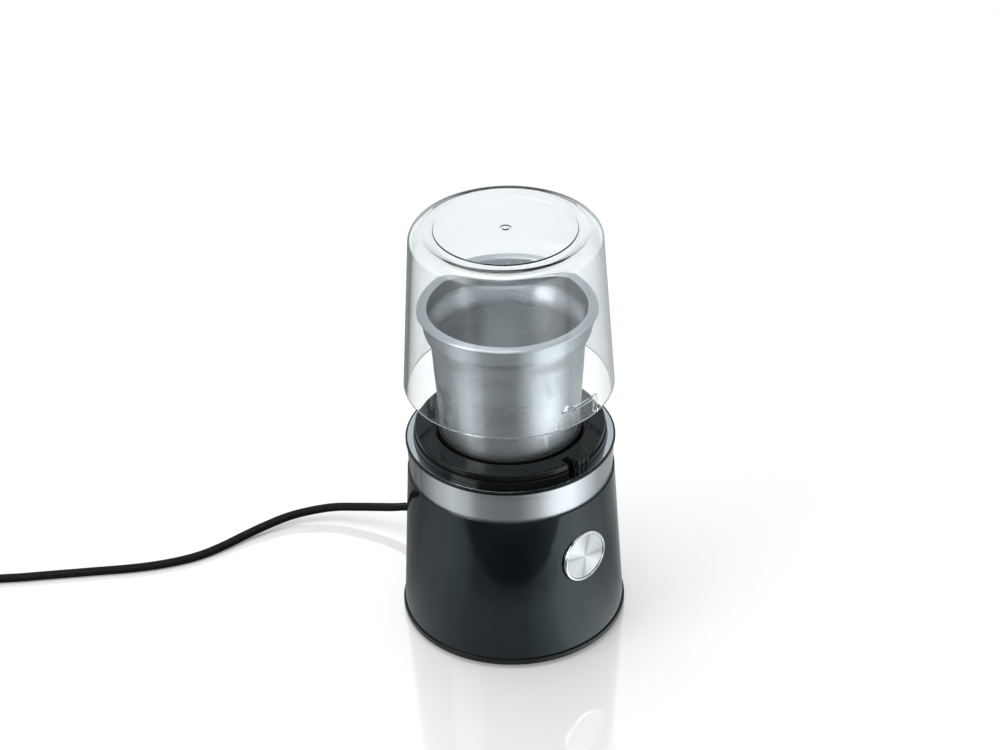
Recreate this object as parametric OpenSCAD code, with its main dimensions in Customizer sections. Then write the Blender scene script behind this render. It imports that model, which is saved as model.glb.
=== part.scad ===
// Electric spice grinder: a motor base with a push button, a lift-out steel bowl with its
// blade, a clear lid and a mains lead. Millimetres, +Z up, the button towards -Y, the floor
// at z = 0 and the motor's axis on the Z axis.

/* [Base] */
// Radius of the base plate's rim
base_r = 55; // [54:0.5:57]
// Height of the base plate's rim
rim_h = 3.2; // [2.8:0.1:4]
// How far the rim stands proud of the shell
rim_step = 0.8; // [0.4:0.1:1.2]
// Thickness of the base plate
plate_t = 2.4; // [2:0.1:2.6]
// Height of the rubber feet below the base plate
foot_h = 2; // [1.5:0.1:4]
// Radius of a rubber foot
foot_r = 5.5; // [4.5:0.5:6]
// Distance from the rim to a foot's centre
foot_in = 11; // [10:0.5:13]
// Distance from the shell's inner wall to a screw post's centre
post_in = 7.2; // [6.6:0.1:8]
// Radius of a screw post in the shell
post_r = 3.6; // [3:0.1:4]

/* [Shell] */
// Height of the body shell
shell_h = 77.8; // [76.5:0.1:80]
// How much the shell's radius shrinks from bottom to top
shell_taper = 4.2; // [3.6:0.1:4.8]
// Wall of the shell
shell_wall = 2.5; // [2:0.1:2.8]
// Depth of the rebate that the steel band stands in
lip_h = 1.6; // [1.2:0.1:2.4]
// Thickness of the lip outside the steel band
lip_t = 1.1; // [0.9:0.1:1.4]
// Thickness of the shell's inner flange
flange_t = 2.4; // [2:0.1:3]

/* [Band, ledge and collar] */
// Height of the steel band
band_h = 18; // [17:0.1:19]
// How much the band flares outwards towards its top
band_flare = 1.05; // [0.6:0.05:1.4]
// Thickness of the band's sheet
band_t = 0.8; // [0.6:0.1:1]
// Height of the black trim ring
trim_h = 1.5; // [1.2:0.1:2]
// Radial width of the trim ring
trim_w = 0.9; // [0.7:0.1:1.2]
// How far the trim ring stands proud of the band
trim_proud = 0.45; // [0.3:0.05:0.8]
// Thickness of the polished ledge ring
ledge_t = 0.8; // [0.6:0.1:1]
// Height of the collar above the ledge
collar_h = 6.8; // [6.4:0.1:7]
// Radial depth of the step round the collar's foot
collar_step = 0.7; // [0.5:0.1:0.9]
// Height of that step
step_h = 2.9; // [2.4:0.1:3.2]
// Thickness of the deck under the ledge
deck_t = 3; // [2.5:0.1:3.5]
// Thickness of the skirt inside the band
skirt_t = 2; // [1.6:0.1:2.2]

/* [Well] */
// Width of the collar's top, from its outer edge to the well's mouth
collar_w = 8.9; // [8.6:0.1:9.4]
// How much the well narrows below its mouth
mouth_step = 1.9; // [1.5:0.1:2.1]
// Depth of the well below the collar's top
well_depth = 27.3; // [26.5:0.1:28]
// Wall of the well
well_wall = 2; // [1.6:0.1:2.4]
// Thickness of the well's floor
floor_t = 2.5; // [2.2:0.1:3]

/* [Bowl] */
// Gap between the bowl's flange and the top of the closed lid
lid_gap = 6.8; // [5:0.1:10]
// Thickness of the bowl's sheet
bowl_t = 1; // [0.8:0.1:1.2]
// Radial gap between the well's mouth and the bowl
bowl_gap = 3.3; // [3:0.1:3.6]
// Radius of the bowl's rounded bottom edge
bowl_round = 16; // [14:0.5:17]
// Radial depth of the shoulder below the neck
shoulder_w = 3.6; // [2.8:0.1:4.2]
// Height of the neck below the flange
neck_h = 8.5; // [7:0.5:10]
// Height of the shoulder's curve
shoulder_h = 13; // [11:0.5:15]
// Width of the flange outside the neck
flange_w = 2.7; // [2:0.1:3.2]
// Width of the flange inside the neck's wall
flange_in_w = 1.2; // [0.6:0.1:1.6]
// Thickness of the flange
brim_t = 1.7; // [1.4:0.1:2.2]
// Wall of the bowl's plastic base
bowl_base_t = 2.2; // [1.8:0.1:2.6]

/* [Lid] */
// Height of the lid
lid_h = 83; // [82:0.5:88]
// Wall of the lid
lid_wall = 2.2; // [1.8:0.1:2.4]
// Thickness of the lid's top
lid_top_t = 2.4; // [2:0.1:3]
// How much the lid's radius shrinks from rim to top
lid_draft = 4.8; // [4:0.1:5.2]
// Radius of the lid's top edge
lid_round = 5.5; // [4.5:0.1:6]
// Distance from the lid's wall to the edge of the raised disc on its top
disc_edge = 11.7; // [9:0.1:14]
// Height of the raised disc
disc_h = 0.9; // [0.6:0.1:1.2]
// How far the lid is lifted off its seat at rest
lid_lift = 30; // [20:1:40]
// Height of the locking pocket in the rim
pocket_h = 7.2; // [7:0.1:8]

/* [Button] */
// Height of the button's centre above the floor
button_z = 54.9; // [53:0.1:56]
// Radius of the button's chrome cap
button_r = 13; // [12:0.1:13.5]
// Width of the cap's ring round its spun disc
ring_w = 1.4; // [1.1:0.1:2.4]
// How far the cap stands out of the shell
button_proud = 0.8; // [0.6:0.1:1.2]
// Gap round the button
button_gap = 0.4; // [0.3:0.1:0.6]
// Travel of the button
button_travel = 1.6; // [1:0.1:1.8]
// Depth of the sleeve that guides the button
sleeve_depth = 9; // [8.8:0.1:10]
// Radius of the button's stem
stem_r = 4; // [3.5:0.1:4.5]

/* [Interlock] */
// Radius of the interlock pin
pin_r = 1.4; // [1.2:0.1:1.6]
// Travel of the interlock pin
pin_travel = 1.8; // [1.2:0.1:2]
// Depth of the pin's top below the collar's top
pin_below = 2.5; // [2.3:0.1:2.6]

/* [Motor] */
// Radius of the motor shaft
shaft_r = 3; // [2.5:0.1:3.2]
// Width of the stator
stator_w = 54; // [52:0.5:55]
// Gap between the stator and the start switch's tabs
stator_gap = 2.5; // [1.5:0.1:5]
// Gap between the motor's shaft and the base plate
motor_gap = 4.1; // [2:0.1:6]
// Radius of the armature
armature_r = 14.1; // [13.5:0.1:14.4]
// Air gap between armature and stator
air_gap = 0.5; // [0.4:0.1:0.7]
// Thickness of the bearing brackets
bracket_t = 2.5; // [2:0.1:3]
// Thickness of a rubber damper
damper_t = 2.5; // [2:0.1:3]
// Radius of the commutator
commutator_r = 9.5; // [8.5:0.1:10]
// Radius of the cooling fan
fan_r = 19; // [16:0.5:20]
// Number of fan blades
fan_blades = 12; // [8:1:14]

/* [Blade] */
// Radius of the blade shaft
spindle_r = 2.5; // [2:0.1:2.8]
// Gap between the blade's tips and the bowl's wall
blade_gap = 5.5; // [5:0.5:10]
// Width of the blade
blade_w = 9; // [7:0.5:11]
// Thickness of the blade
blade_t = 1.5; // [1.2:0.1:2]
// Height of the coupling's dogs
dog_h = 4.5; // [3.5:0.1:5]

/* [Lead] */
// Width of the flat lead
cord_w = 5.2; // [4.6:0.2:5.6]
// Thickness of the flat lead
cord_t = 3.2; // [2.8:0.1:3.4]
// Height of the lead where it leaves the shell
cord_z = 16; // [15.5:0.1:17]
// Length of the strain relief outside the shell
boot_l = 20; // [20:1:24]

/* [Hidden] */
$fn = 96;

// Clearances: resting faces, pressed fits, running fits and loose places
seat_gap = 0.1;
fit_gap = 0.02;
run_gap = 0.06;
loose_gap = 0.3;
// A cut runs this far past the face that it opens
past = 1;
// Wall round a moulded boss or sleeve
boss_wall = 2;

// Colours
anthracite = "#40494d";
soft_black = "#17191a";
gloss_black = "#26292b";
steel = "#b9bcbd";
bright_steel = "#d5d8da";
lamination = "#6f7478";
copper = "#b5683a";
bronze = "#a8814b";
clear = [0.85, 0.88, 0.9, 0.35];

// Heights and radii of the base and shell
plate_z0 = foot_h;
plate_z1 = plate_z0 + plate_t;
shell_z0 = plate_z0 + rim_h;
shell_z1 = shell_z0 + shell_h;
shell_bottom_r = base_r - rim_step;
shell_top_r = shell_bottom_r - shell_taper;
shelf_z = shell_z1 - lip_h;
flange_z1 = shelf_z - 1;
ring_h = 4.6;
ring_t = 1;
screw_r = 1.45;
hole_r = 1.6;
pilot_r = 1.5;
head_r = 2.8;
head_h = 2;
sunk_head_h = 0.9;
base_screw_l = 12;
post_h = 18;
post_web = 2;
foot_angle = 22.5;
post_angle = 67.5;
foot_stem_r = 2;
vent_w = 2.2;
vent_l = 10;
vent_r = 8;
outer_vent_l = 8;
outer_vent_r = 26;
foot_circle_r = base_r - foot_in;
post_circle_r = shell_bottom_r - shell_wall - post_in;

// Outer radius of the shell at height z
function shell_r(z) = shell_bottom_r - shell_taper * (z - shell_z0) / shell_h;
ring_r = shell_r(plate_z1 + ring_h) - shell_wall - seat_gap;

// Band, trim, ledge and collar
band_r0 = shell_top_r - lip_t;
band_r1 = band_r0 + band_flare;
band_z1 = shelf_z + band_h;
trim_r1 = band_r1 + trim_proud;
trim_r0 = trim_r1 - trim_w;
ledge_z = band_z1 + trim_h;
collar_z1 = ledge_z + collar_h;
skirt_r1 = band_r0 - band_t - seat_gap;
skirt_r0 = skirt_r1 - skirt_t;
deck_z1 = ledge_z - ledge_t;
deck_z0 = deck_z1 - deck_t;
lid_r = trim_r1 - 0.4;
step_r = lid_r - lid_wall - 1.4;
collar_r = step_r - collar_step;
well_r = collar_r - collar_w;
groove_d = 0.5;
groove_h = 0.7;
boss_r = 3.4;
boss_angle = 45;
collar_screw_l = 10;

// Well and motor place
floor_z1 = collar_z1 - well_depth;
floor_z0 = floor_z1 - floor_t;
shoulder_drop = 3.4;
mouth_edge = 0.8;
well_in_r = well_r - mouth_step;
boss_circle_r = (well_in_r + well_wall + skirt_r0) / 2;
hub_r0 = shaft_r + 1.2;
hub_r1 = hub_r0 + 3;
hub_h = 2.4;
key_h = 3;
key_w = 5;
key_in = 3.2;

// Coupling, bowl and blade stack
drive_z0 = floor_z1 + hub_h + 0.6;
disc_t = 2;
driven_z0 = drive_z0 + disc_t + dog_h + 0.4;
driven_z1 = driven_z0 + 2.5;
web_z0 = driven_z1 + 0.5;
web_t = 2.6;
bowl_z0 = web_z0 + web_t;
bowl_z1 = ledge_z + seat_gap + lid_h - disc_h - lid_top_t - lid_gap;
bowl_low_r = well_r - bowl_gap;
bowl_base_r = well_in_r - 0.5;
bowl_base_rise = collar_z1 - 0.3 - bowl_z0;
coupling_r = 10;
dog_r0 = 5.5;
dog_angle = 50;
dog_count = 3;
drive_angle = 30;
bush_r = 5.5;
bush_flange_r = 8;
bush_flange_t = 1.2;
seal_t = 1.8;
bush_z1 = bowl_z0 + bowl_t + bush_flange_t + seal_t + 0.3;
blade_z0 = bush_z1 + 0.4;
blade_l = 2 * (bowl_low_r - bowl_t - blade_gap);
blade_tip_l = 9;
blade_tip_angle = 28;
nut_r = 4.6;
nut_h = 4;

// Lid shape and place
lid_z0 = ledge_z + seat_gap + lid_lift;
lid_wall_h = lid_h - disc_h - lid_round;
lid_in_h = lid_h - disc_h - lid_top_t;
lid_in_round = 4;
lug_angle = -85.2;
lug_w = 8;
notch_angle = -94;
notch_w = 4;
tab_w = 2.8;
tab_h = 2.6;
pocket_from = -104;
pocket_to = -75;
rib_t = 1.2;

// Outer radius of the lid at height h above its rim
function lid_out_r(h) = lid_r - lid_draft * h / lid_wall_h;
disc_r = lid_out_r(lid_wall_h) - disc_edge;
gate_r = 2.6;
gate_t = 1.1;
gate_h = 0.5;

// Bowl's flange, from the lid that goes over it
flange_in_lid = bowl_z1 - ledge_z - seat_gap;
flange_r = lid_out_r(flange_in_lid) - lid_wall - 0.8;
neck_r = flange_r - flange_w;
body_top_r = neck_r - shoulder_w;
neck_z0 = bowl_z1 - neck_h;
shoulder_z0 = neck_z0 - shoulder_h;

// Interlock, in the collar's notch
pin_circle_r = collar_r - 3.1;
pin_z1 = collar_z1 - pin_below;
notch_r0 = pin_circle_r - pin_r - 0.4;
tab_r0 = flange_r + 0.4;
tab_h0 = pin_z1 - ledge_z + 0.2;
pin_flange_r = 2.4;
pin_flange_t = 1.5;
guide_r = 3.2;
guide_z0 = deck_z0 - 2.2;
pin_flange_z1 = guide_z0 - seat_gap;
switch_w = 12.8;
switch_d = 5.8;
switch_h = 6.8;
lock_switch_z1 = flange_z1 + switch_h;
pin_z0 = lock_switch_z1 + pin_travel + 1.3;
plunger_r = 1.1;
plunger_l = 4.4;
wire_r = 0.3;
lock_spring_r = 2;

// Button, in its own frame: z = 0 on the shell and +z outwards
button_tilt = atan(shell_taper / shell_h);
face_r = button_r - ring_w;
face_t = 0.8;
face_sunk = 0.5;
cap_depth = 5;
cap_floor = 2.5;
sleeve_floor = 2;
stem_l = 12;
stem_disc_t = 1.5;
start_top = -stem_l - loose_gap;
start_switch_z1 = start_top - button_travel - 0.3;
button_spring_r = 6;
arm_t = 1.5;
arm_w = 5;
tab_l = 3;

// Motor: the upper bracket hangs from the well's floor, and the rest fills the height
// between it and the base plate
mount_h = 5;
mount_r = 3.2;
mount_z0 = floor_z0 - mount_h;
ear_z1 = mount_z0 - damper_t;
ear_z0 = ear_z1 - bracket_t;
ear_x = 25.5;
ear_w = 12;
damper_r = 4.2;
leg_t = 5;
leg_h = 5.5;
stack_z1 = ear_z0 - leg_h;
fan_h = 6.5;
fan_disc_t = 1.2;
fan_blade_t = 1.2;
fan_hub_w = 2.5;
shaft_z0 = plate_z1 + motor_gap;
shaft_z1 = drive_z0 + disc_t + 2;
fan_z0 = shaft_z0 + 1;
fan_z1 = fan_z0 + fan_h;
bearing_r = 5.5;
bearing_h = 5;
bearing_boss_r = 7.2;
bearing_sunk = 0.8;
boss_below = 2.5;
lower_boss_z0 = fan_z1 + 1;
strap_z0 = lower_boss_z0 + boss_below;
strap_z1 = strap_z0 + bracket_t;
carrier_t = 2.2;
carrier_l = 50;
carrier_w = 24;
comm_h = 10;
comm_z0 = strap_z1 + 3.5;
comm_z1 = comm_z0 + comm_h;
comm_slot_w = 0.6;
coil_over = 4.6;
winding_over = 3.5;
stack_z0 = comm_z1 + 1.5 + winding_over;
stack_h = stack_z1 - stack_z0;
slot_w = 2.8;
slot_d = 3.6;
slot_neck = 1.2;
slot_count = 12;
pole_w = 17;
window_x = armature_r + 1.5;
window_w = 6.4;
window_y = 17;
coil_gap = 0.3;
stator_d = 2 * (shell_r(button_z) + start_switch_z1 - switch_h - tab_l - stator_gap);
bolt_y = (stator_d - leg_t) / 2;
leg_y = stator_d / 2 - leg_t;
bracket_w = 18;
bolt_head_r = 2.4;
brush_w = 5;
brush_l = 11;
brush_z = strap_z1 + carrier_t + 4;
holder_l = 12;
holder_h = 7.5;

// Lead: the strain relief, the way that the lead takes and the coil that it ends in
boot_flange_r = 6;
boot_y0 = shell_r(cord_z - boot_flange_r) + seat_gap;
boot_y1 = boot_y0 + boot_l;
boot_in_y = shell_r(cord_z + boot_flange_r) - shell_wall - 0.8;
boot_neck_r = 4.6;
boot_flange_t = 1.6;
boot_in_t = 2;
clamp_t = 5;
clamp_w = 18;
clamp_y0 = boot_in_y - boot_in_t - 2.4 - clamp_t;
clamp_z = cord_z - cord_t / 2 - seat_gap;
clamp_h = cord_t + 3;
clamp_screw_x = 6.5;
clamp_screw_r = 1.15;
clamp_screw_l = 12;
block_w = 18;
block_t = 7;
block_h = 10;
block_z0 = plate_z1 + 5.6;
block_y0 = clamp_y0 - 4.5 - block_t;
suppressor_t = 8;
suppressor_w = 17;
suppressor_h = 14;
suppressor_x = ring_r - ring_t - suppressor_t - 11.4;
cord_lie = cord_t / 2 + seat_gap;
cord_way = [
    [0, boot_y1, cord_z], [0, boot_y1 + 2, cord_z], [-1, 81, 14.8], [-4, 88, 12.3], [-9, 97, 10.2],
    [-15, 106, 8.6], [-22, 115, 7.2], [-31, 122, 6], [-42, 128, 4.6], [-54, 131, 3.6], [-67, 133, 2.6],
    [-80, 134, 2], [-93, 136, cord_lie], [-105, 140, cord_lie], [-117, 146, cord_lie],
    [-128, 153, cord_lie], [-139, 161, cord_lie], [-150, 169, cord_lie],
    [-161, 177, cord_lie], [-172, 185, cord_lie], [-182, 193, cord_lie],
    [-192, 201, cord_lie], [-202, 208, cord_lie], [-212, 214, cord_lie]
];
coil_x = -234;
coil_y = 188;
coil_r = 29;
coil_turns = 3;
turn_pitch = cord_w + 0.2;
coil_r0 = coil_r - coil_turns * turn_pitch / 2;
coil_r1 = coil_r + coil_turns * turn_pitch / 2;
coil_h = 2 * cord_t + 0.4;
upper_z = coil_h - cord_lie;
plug_way = [
    [-257, 209, upper_z], [-264, 200, upper_z], [-270, 190, upper_z], [-275, 180, 4.5],
    [-279, 170, 3], [-281.5, 160, 2], [-283, 150, 2.1], [-283.6, 141, 4],
    [-284, 135, 6.2], [-284, 133, 6.8], [-284, 131, 6.8]
];
plug_x = -284;
plug_y = 131;
plug_t = 13.6;
plug_w = 35;
plug_l = 34;
plug_boot_l = 16;
plug_pin_r = 2;
plug_pin_l = 19;
plug_pin_gap = 19;

// Points of an arc round (x, y)
function arc(x, y, r, from, to, steps = 8) =
    [for (i = [0:steps]) let (a = from + (to - from) * i / steps) [x + r * cos(a), y + r * sin(a)]];

// One ring of points round p, with its width across the way that it runs
function ring_at(p, dir, w, t, sides) =
    let (flat = norm([dir.x, dir.y]), side = [-dir.y, dir.x, 0] / flat, up = cross(dir, side))
    [for (k = [0:sides - 1]) let (a = 360 * (k + 0.5) / sides)
        p + side * w / 2 * cos(a) / cos(180 / sides) + up * t / 2 * sin(a) / cos(180 / sides)];

// Unit direction of the way at its point i
function way_dir(way, i) =
    let (d = way[min(i + 1, len(way) - 1)] - way[max(i - 1, 0)]) d / norm(d);

// A closed tube of oval section along a way
module oval_tube(way, w, t, sides = 10) {
    rings = len(way);
    points = [for (i = [0:rings - 1]) each ring_at(way[i], way_dir(way, i), w, t, sides)];
    walls = [for (i = [0:rings - 2]) for (k = [0:sides - 1])
        let (a = i * sides + k, b = i * sides + (k + 1) % sides) [a, a + sides, b + sides, b]];
    first = [[for (k = [0:sides - 1]) k]];
    last = [[for (k = [sides - 1:-1:0]) (rings - 1) * sides + k]];
    polyhedron(points, concat(walls, first, last), convexity = 4);
}

// A round wire coiled into a compression spring that stands on z = 0
module coil_spring(r, wire, height, turns) {
    steps = turns * 12;
    sides = 6;
    rise = (height - 2 * wire) / steps;
    points = [for (i = [0:steps]) for (k = [0:sides - 1])
        let (a = 30 * i, b = 360 * k / sides, across = r + wire * cos(b))
        [across * cos(a), across * sin(a), wire + rise * i + wire * sin(b)]];
    walls = [for (i = [0:steps - 1]) for (k = [0:sides - 1])
        let (a = i * sides + k, b = i * sides + (k + 1) % sides) [a, b, b + sides, a + sides]];
    first = [[for (k = [sides - 1:-1:0]) k]];
    last = [[for (k = [0:sides - 1]) steps * sides + k]];
    polyhedron(points, concat(walls, first, last), convexity = 4);
}

// A straight tube or ring
module tube(r_out, r_in, h) {
    difference() {
        cylinder(r = r_out, h = h);
        translate([0, 0, -past]) cylinder(r = r_in, h = h + 2 * past);
    }
}

// A ring sector between two angles
module sector(r_in, r_out, h, from, to) {
    rotate([0, 0, from]) rotate_extrude(angle = to - from)
        translate([r_in, 0]) square([r_out - r_in, h]);
}

// Copies round the Z axis
module around(count, r, first = 0) {
    for (i = [0:count - 1]) rotate([0, 0, first + i * 360 / count]) translate([r, 0, 0]) children();
}

// A pan-head screw whose head lies below z = 0 and whose shank points up
module screw(r, l, head, head_height) {
    translate([0, 0, -head_height]) difference() {
        cylinder(r = head, h = head_height);
        for (a = [0, 90]) rotate([0, 0, a]) translate([0, 0, 0.3])
            cube([head * 1.2, 0.7, 1.2], center = true);
    }
    cylinder(r = r, h = l);
}

// Frame on the shell's front, with +z outwards along the button's axis
module at_button() {
    translate([0, -shell_r(button_z), button_z]) rotate([90 - button_tilt, 0, 0]) children();
}

// Frame of the lid on its seat or lifted off it
module at_lid() {
    translate([0, 0, lid_z0]) children();
}

// Outer solid of the shell
module shell_outer() {
    translate([0, 0, shell_z0]) cylinder(r1 = shell_bottom_r, r2 = shell_top_r, h = shell_h);
}

module body_shell() color(anthracite) difference() {
    union() {
        rotate_extrude(convexity = 6) polygon([
            [shell_bottom_r, shell_z0], [shell_top_r, shell_z1], [band_r0 + seat_gap, shell_z1],
            [band_r0 + seat_gap, shelf_z], [skirt_r1 + seat_gap, shelf_z],
            [skirt_r1 + seat_gap, flange_z1], [well_in_r + well_wall + 1.4, flange_z1],
            [well_in_r + well_wall + 1.4, flange_z1 - flange_t],
            [shell_r(flange_z1 - flange_t) - shell_wall, flange_z1 - flange_t],
            [shell_bottom_r - shell_wall, shell_z0]
        ]);
        around(4, post_circle_r, post_angle) {
            translate([0, 0, plate_z1]) cylinder(r = post_r, h = post_h);
            translate([0, -post_web / 2, plate_z1 + ring_h + 0.5])
                cube([shell_r(plate_z1 + post_h) - shell_wall / 2 - post_circle_r, post_web,
                    post_h - ring_h - 0.5]);
        }
        intersection() {
            shell_outer();
            at_button() translate([0, 0, -sleeve_depth])
                cylinder(r = button_r + button_gap + boss_wall, h = sleeve_depth + 3);
        }
        at_button() for (side = [-1, 1]) scale([side, 1, 1]) {
            translate([switch_w / 2 + seat_gap, -arm_w / 2, start_switch_z1 - switch_h - seat_gap - arm_t])
                cube([arm_t, arm_w, switch_h + seat_gap + arm_t - start_switch_z1 - sleeve_depth + 0.5]);
            translate([switch_w / 2 - 1, -arm_w / 2, start_switch_z1 - switch_h - seat_gap - arm_t])
                cube([arm_t + 1, arm_w, arm_t]);
        }
    }
    at_button() {
        translate([0, 0, sleeve_floor - sleeve_depth]) cylinder(r = button_r + button_gap, h = 20);
        translate([0, 0, -sleeve_depth - past])
            cylinder(r = stem_r + run_gap, h = sleeve_floor + 2 * past);
    }
    around(4, post_circle_r, post_angle) translate([0, 0, plate_z1 - past])
        cylinder(r = pilot_r, h = base_screw_l + past);
    around(4, boss_circle_r, boss_angle) translate([0, 0, flange_z1 - flange_t - past])
        cylinder(r = hole_r, h = flange_t + 2 * past);
    translate([0, 0, cord_z]) rotate([-90, 0, 0]) cylinder(r = boot_neck_r + seat_gap, h = base_r + 5);
}

module base_plate() color(gloss_black) difference() {
    union() {
        rotate_extrude() polygon(concat(
            [[0, plate_z0], [base_r - 0.8, plate_z0]],
            arc(base_r - 0.8, plate_z0 + 0.8, 0.8, -90, 0, 4),
            arc(base_r - 0.4, shell_z0 - 0.4, 0.4, 0, 90, 3),
            [[ring_r, shell_z0], [ring_r, plate_z1 + ring_h], [ring_r - ring_t, plate_z1 + ring_h],
            [ring_r - ring_t, plate_z1], [0, plate_z1]]));
        translate([-clamp_w / 2, clamp_y0, plate_z1 - 0.1]) cube([clamp_w, clamp_t, clamp_z - plate_z1 + 0.1]);
        translate([-block_w / 2, block_y0, plate_z1 - 0.1]) cube([block_w, block_t, block_z0 - plate_z1 + 0.1]);
    }
    around(4, post_circle_r, post_angle) {
        translate([0, 0, plate_z0 - past]) cylinder(r = hole_r, h = plate_t + 2 * past);
        translate([0, 0, plate_z0 - past]) cylinder(r = head_r + 0.3, h = past + 1);
    }
    around(4, foot_circle_r, foot_angle) translate([0, 0, plate_z0 - past])
        cylinder(r = foot_stem_r + seat_gap, h = plate_t + 2 * past);
    for (i = [0:15]) rotate([0, 0, 22.5 * i]) translate([vent_r, -vent_w / 2, plate_z0 - past])
        cube([vent_l, vent_w, plate_t + 2 * past]);
    for (a = [200:10:340]) rotate([0, 0, a]) translate([outer_vent_r, -vent_w / 2, plate_z0 - past])
        cube([outer_vent_l, vent_w, plate_t + 2 * past]);
    for (x = [-clamp_screw_x, clamp_screw_x]) translate([x, clamp_y0 + clamp_t / 2, clamp_z - clamp_screw_l])
        cylinder(r = clamp_screw_r + 0.05, h = clamp_screw_l + past);
}

module rubber_feet() color(soft_black) around(4, foot_circle_r, foot_angle) {
    cylinder(r1 = foot_r - 0.4, r2 = foot_r, h = foot_h);
    cylinder(r = foot_stem_r, h = plate_z1 + 0.2);
    translate([0, 0, plate_z1 + 0.1]) cylinder(r1 = foot_stem_r + 0.9, r2 = foot_stem_r - 0.2, h = 1.6);
}

module base_screws() color(steel) around(4, post_circle_r, post_angle)
    translate([0, 0, plate_z0 + 1]) screw(screw_r, base_screw_l, head_r, sunk_head_h);

module steel_band() color(steel) rotate_extrude() polygon([
    [band_r0, shelf_z], [band_r1, band_z1], [band_r1 - band_t, band_z1], [band_r0 - band_t, shelf_z]
]);

module trim_ring() color(soft_black) rotate_extrude() polygon(concat(
    [[trim_r0, band_z1], [trim_r1 - 0.3, band_z1]],
    arc(trim_r1 - 0.3, band_z1 + 0.3, 0.3, -90, 0, 3), arc(trim_r1 - 0.3, ledge_z - 0.3, 0.3, 0, 90, 3),
    [[trim_r0, ledge_z]]));

module ledge_ring() color(bright_steel) rotate_extrude() polygon([
    [step_r + seat_gap, deck_z1], [trim_r0 - fit_gap, deck_z1],
    [trim_r0 - fit_gap, ledge_z], [step_r + seat_gap, ledge_z]
]);

module top_collar() color(gloss_black) difference() {
    union() {
        rotate_extrude(convexity = 8) polygon(concat(
            [[hub_r0, floor_z0], [well_in_r + well_wall, floor_z0], [well_in_r + well_wall, deck_z0],
            [skirt_r0, deck_z0], [skirt_r0, flange_z1], [skirt_r1, flange_z1],
            [skirt_r1, deck_z1], [step_r, deck_z1]],
            arc(step_r - 0.4, ledge_z + step_h - 0.4, 0.4, 0, 90, 3),
            [[collar_r - groove_d, ledge_z + step_h], [collar_r - groove_d, ledge_z + step_h + groove_h]],
            [[collar_r, ledge_z + step_h + groove_h]],
            arc(collar_r - 0.8, collar_z1 - 0.8, 0.8, 0, 90, 5),
            arc(well_r + mouth_edge, collar_z1 - mouth_edge, mouth_edge, 90, 180, 6),
            [[well_r, collar_z1 - shoulder_drop], [well_in_r, collar_z1 - shoulder_drop - 0.4],
            [well_in_r, floor_z1], [hub_r1, floor_z1], [hub_r1 - 0.5, floor_z1 + hub_h],
            [hub_r0, floor_z1 + hub_h]]));
        around(4, boss_circle_r, boss_angle) translate([0, 0, flange_z1])
            cylinder(r = boss_r, h = deck_z0 - flange_z1 + 0.5);
        around(3, well_in_r - key_in, 0) translate([0, -key_w / 2, floor_z1 - 0.5])
            cube([key_in + 0.5, key_w, key_h + 0.5]);
        for (x = [-ear_x, ear_x]) translate([x, 0, mount_z0]) cylinder(r = mount_r, h = mount_h + 0.5);
        rotate([0, 0, notch_angle]) translate([pin_circle_r, 0, guide_z0])
            cylinder(r = guide_r, h = deck_z0 - guide_z0 + 0.5);
        lid_lug();
    }
    rotate([0, 0, notch_angle]) {
        translate([notch_r0, -notch_w / 2, ledge_z]) cube([10, notch_w, collar_h + past]);
        translate([pin_circle_r, 0, guide_z0 - past]) cylinder(r = pin_r + run_gap, h = 20);
    }
    around(4, boss_circle_r, boss_angle) translate([0, 0, flange_z1 - past])
        cylinder(r = pilot_r, h = collar_screw_l + past);
    for (x = [-ear_x, ear_x]) translate([x, 0, mount_z0 - past]) cylinder(r = pilot_r, h = mount_h + past);
}

// Ribbed lug on the collar's foot that the lid's pocket goes over
module lid_lug() {
    rotate([0, 0, lug_angle]) {
        translate([collar_r - 1, -lug_w / 2, ledge_z]) cube([step_r - collar_r + 1.1, lug_w, pocket_h - 0.5]);
        for (i = [-1:1]) translate([step_r - 0.5, 2.8 * i - 0.6, ledge_z]) cube([1, 1.2, pocket_h - 0.9]);
    }
}

module collar_screws() color(steel) around(4, boss_circle_r, boss_angle)
    translate([0, 0, flange_z1 - flange_t]) screw(screw_r, collar_screw_l, head_r, head_h);

module lid() color(clear) at_lid() {
    difference() {
        rotate_extrude(convexity = 6) polygon(concat(
            [[lid_r - lid_wall + 0.2, 0]], arc(lid_r - 0.5, 0.5, 0.5, -90, 0, 3),
            arc(lid_out_r(lid_wall_h) - lid_round, lid_wall_h, lid_round, 0, 90, 10),
            [[disc_r, lid_wall_h + lid_round], [disc_r - 0.3, lid_h], [0, lid_h], [0, lid_in_h]],
            arc(lid_out_r(lid_wall_h) - lid_wall - lid_in_round, lid_in_h - lid_in_round,
                lid_in_round, 90, 0, 8)));
        translate([0, 0, lid_h - gate_h]) tube(gate_r, gate_r - gate_t, gate_h + past);
    }
    lid_pocket();
}

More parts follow.
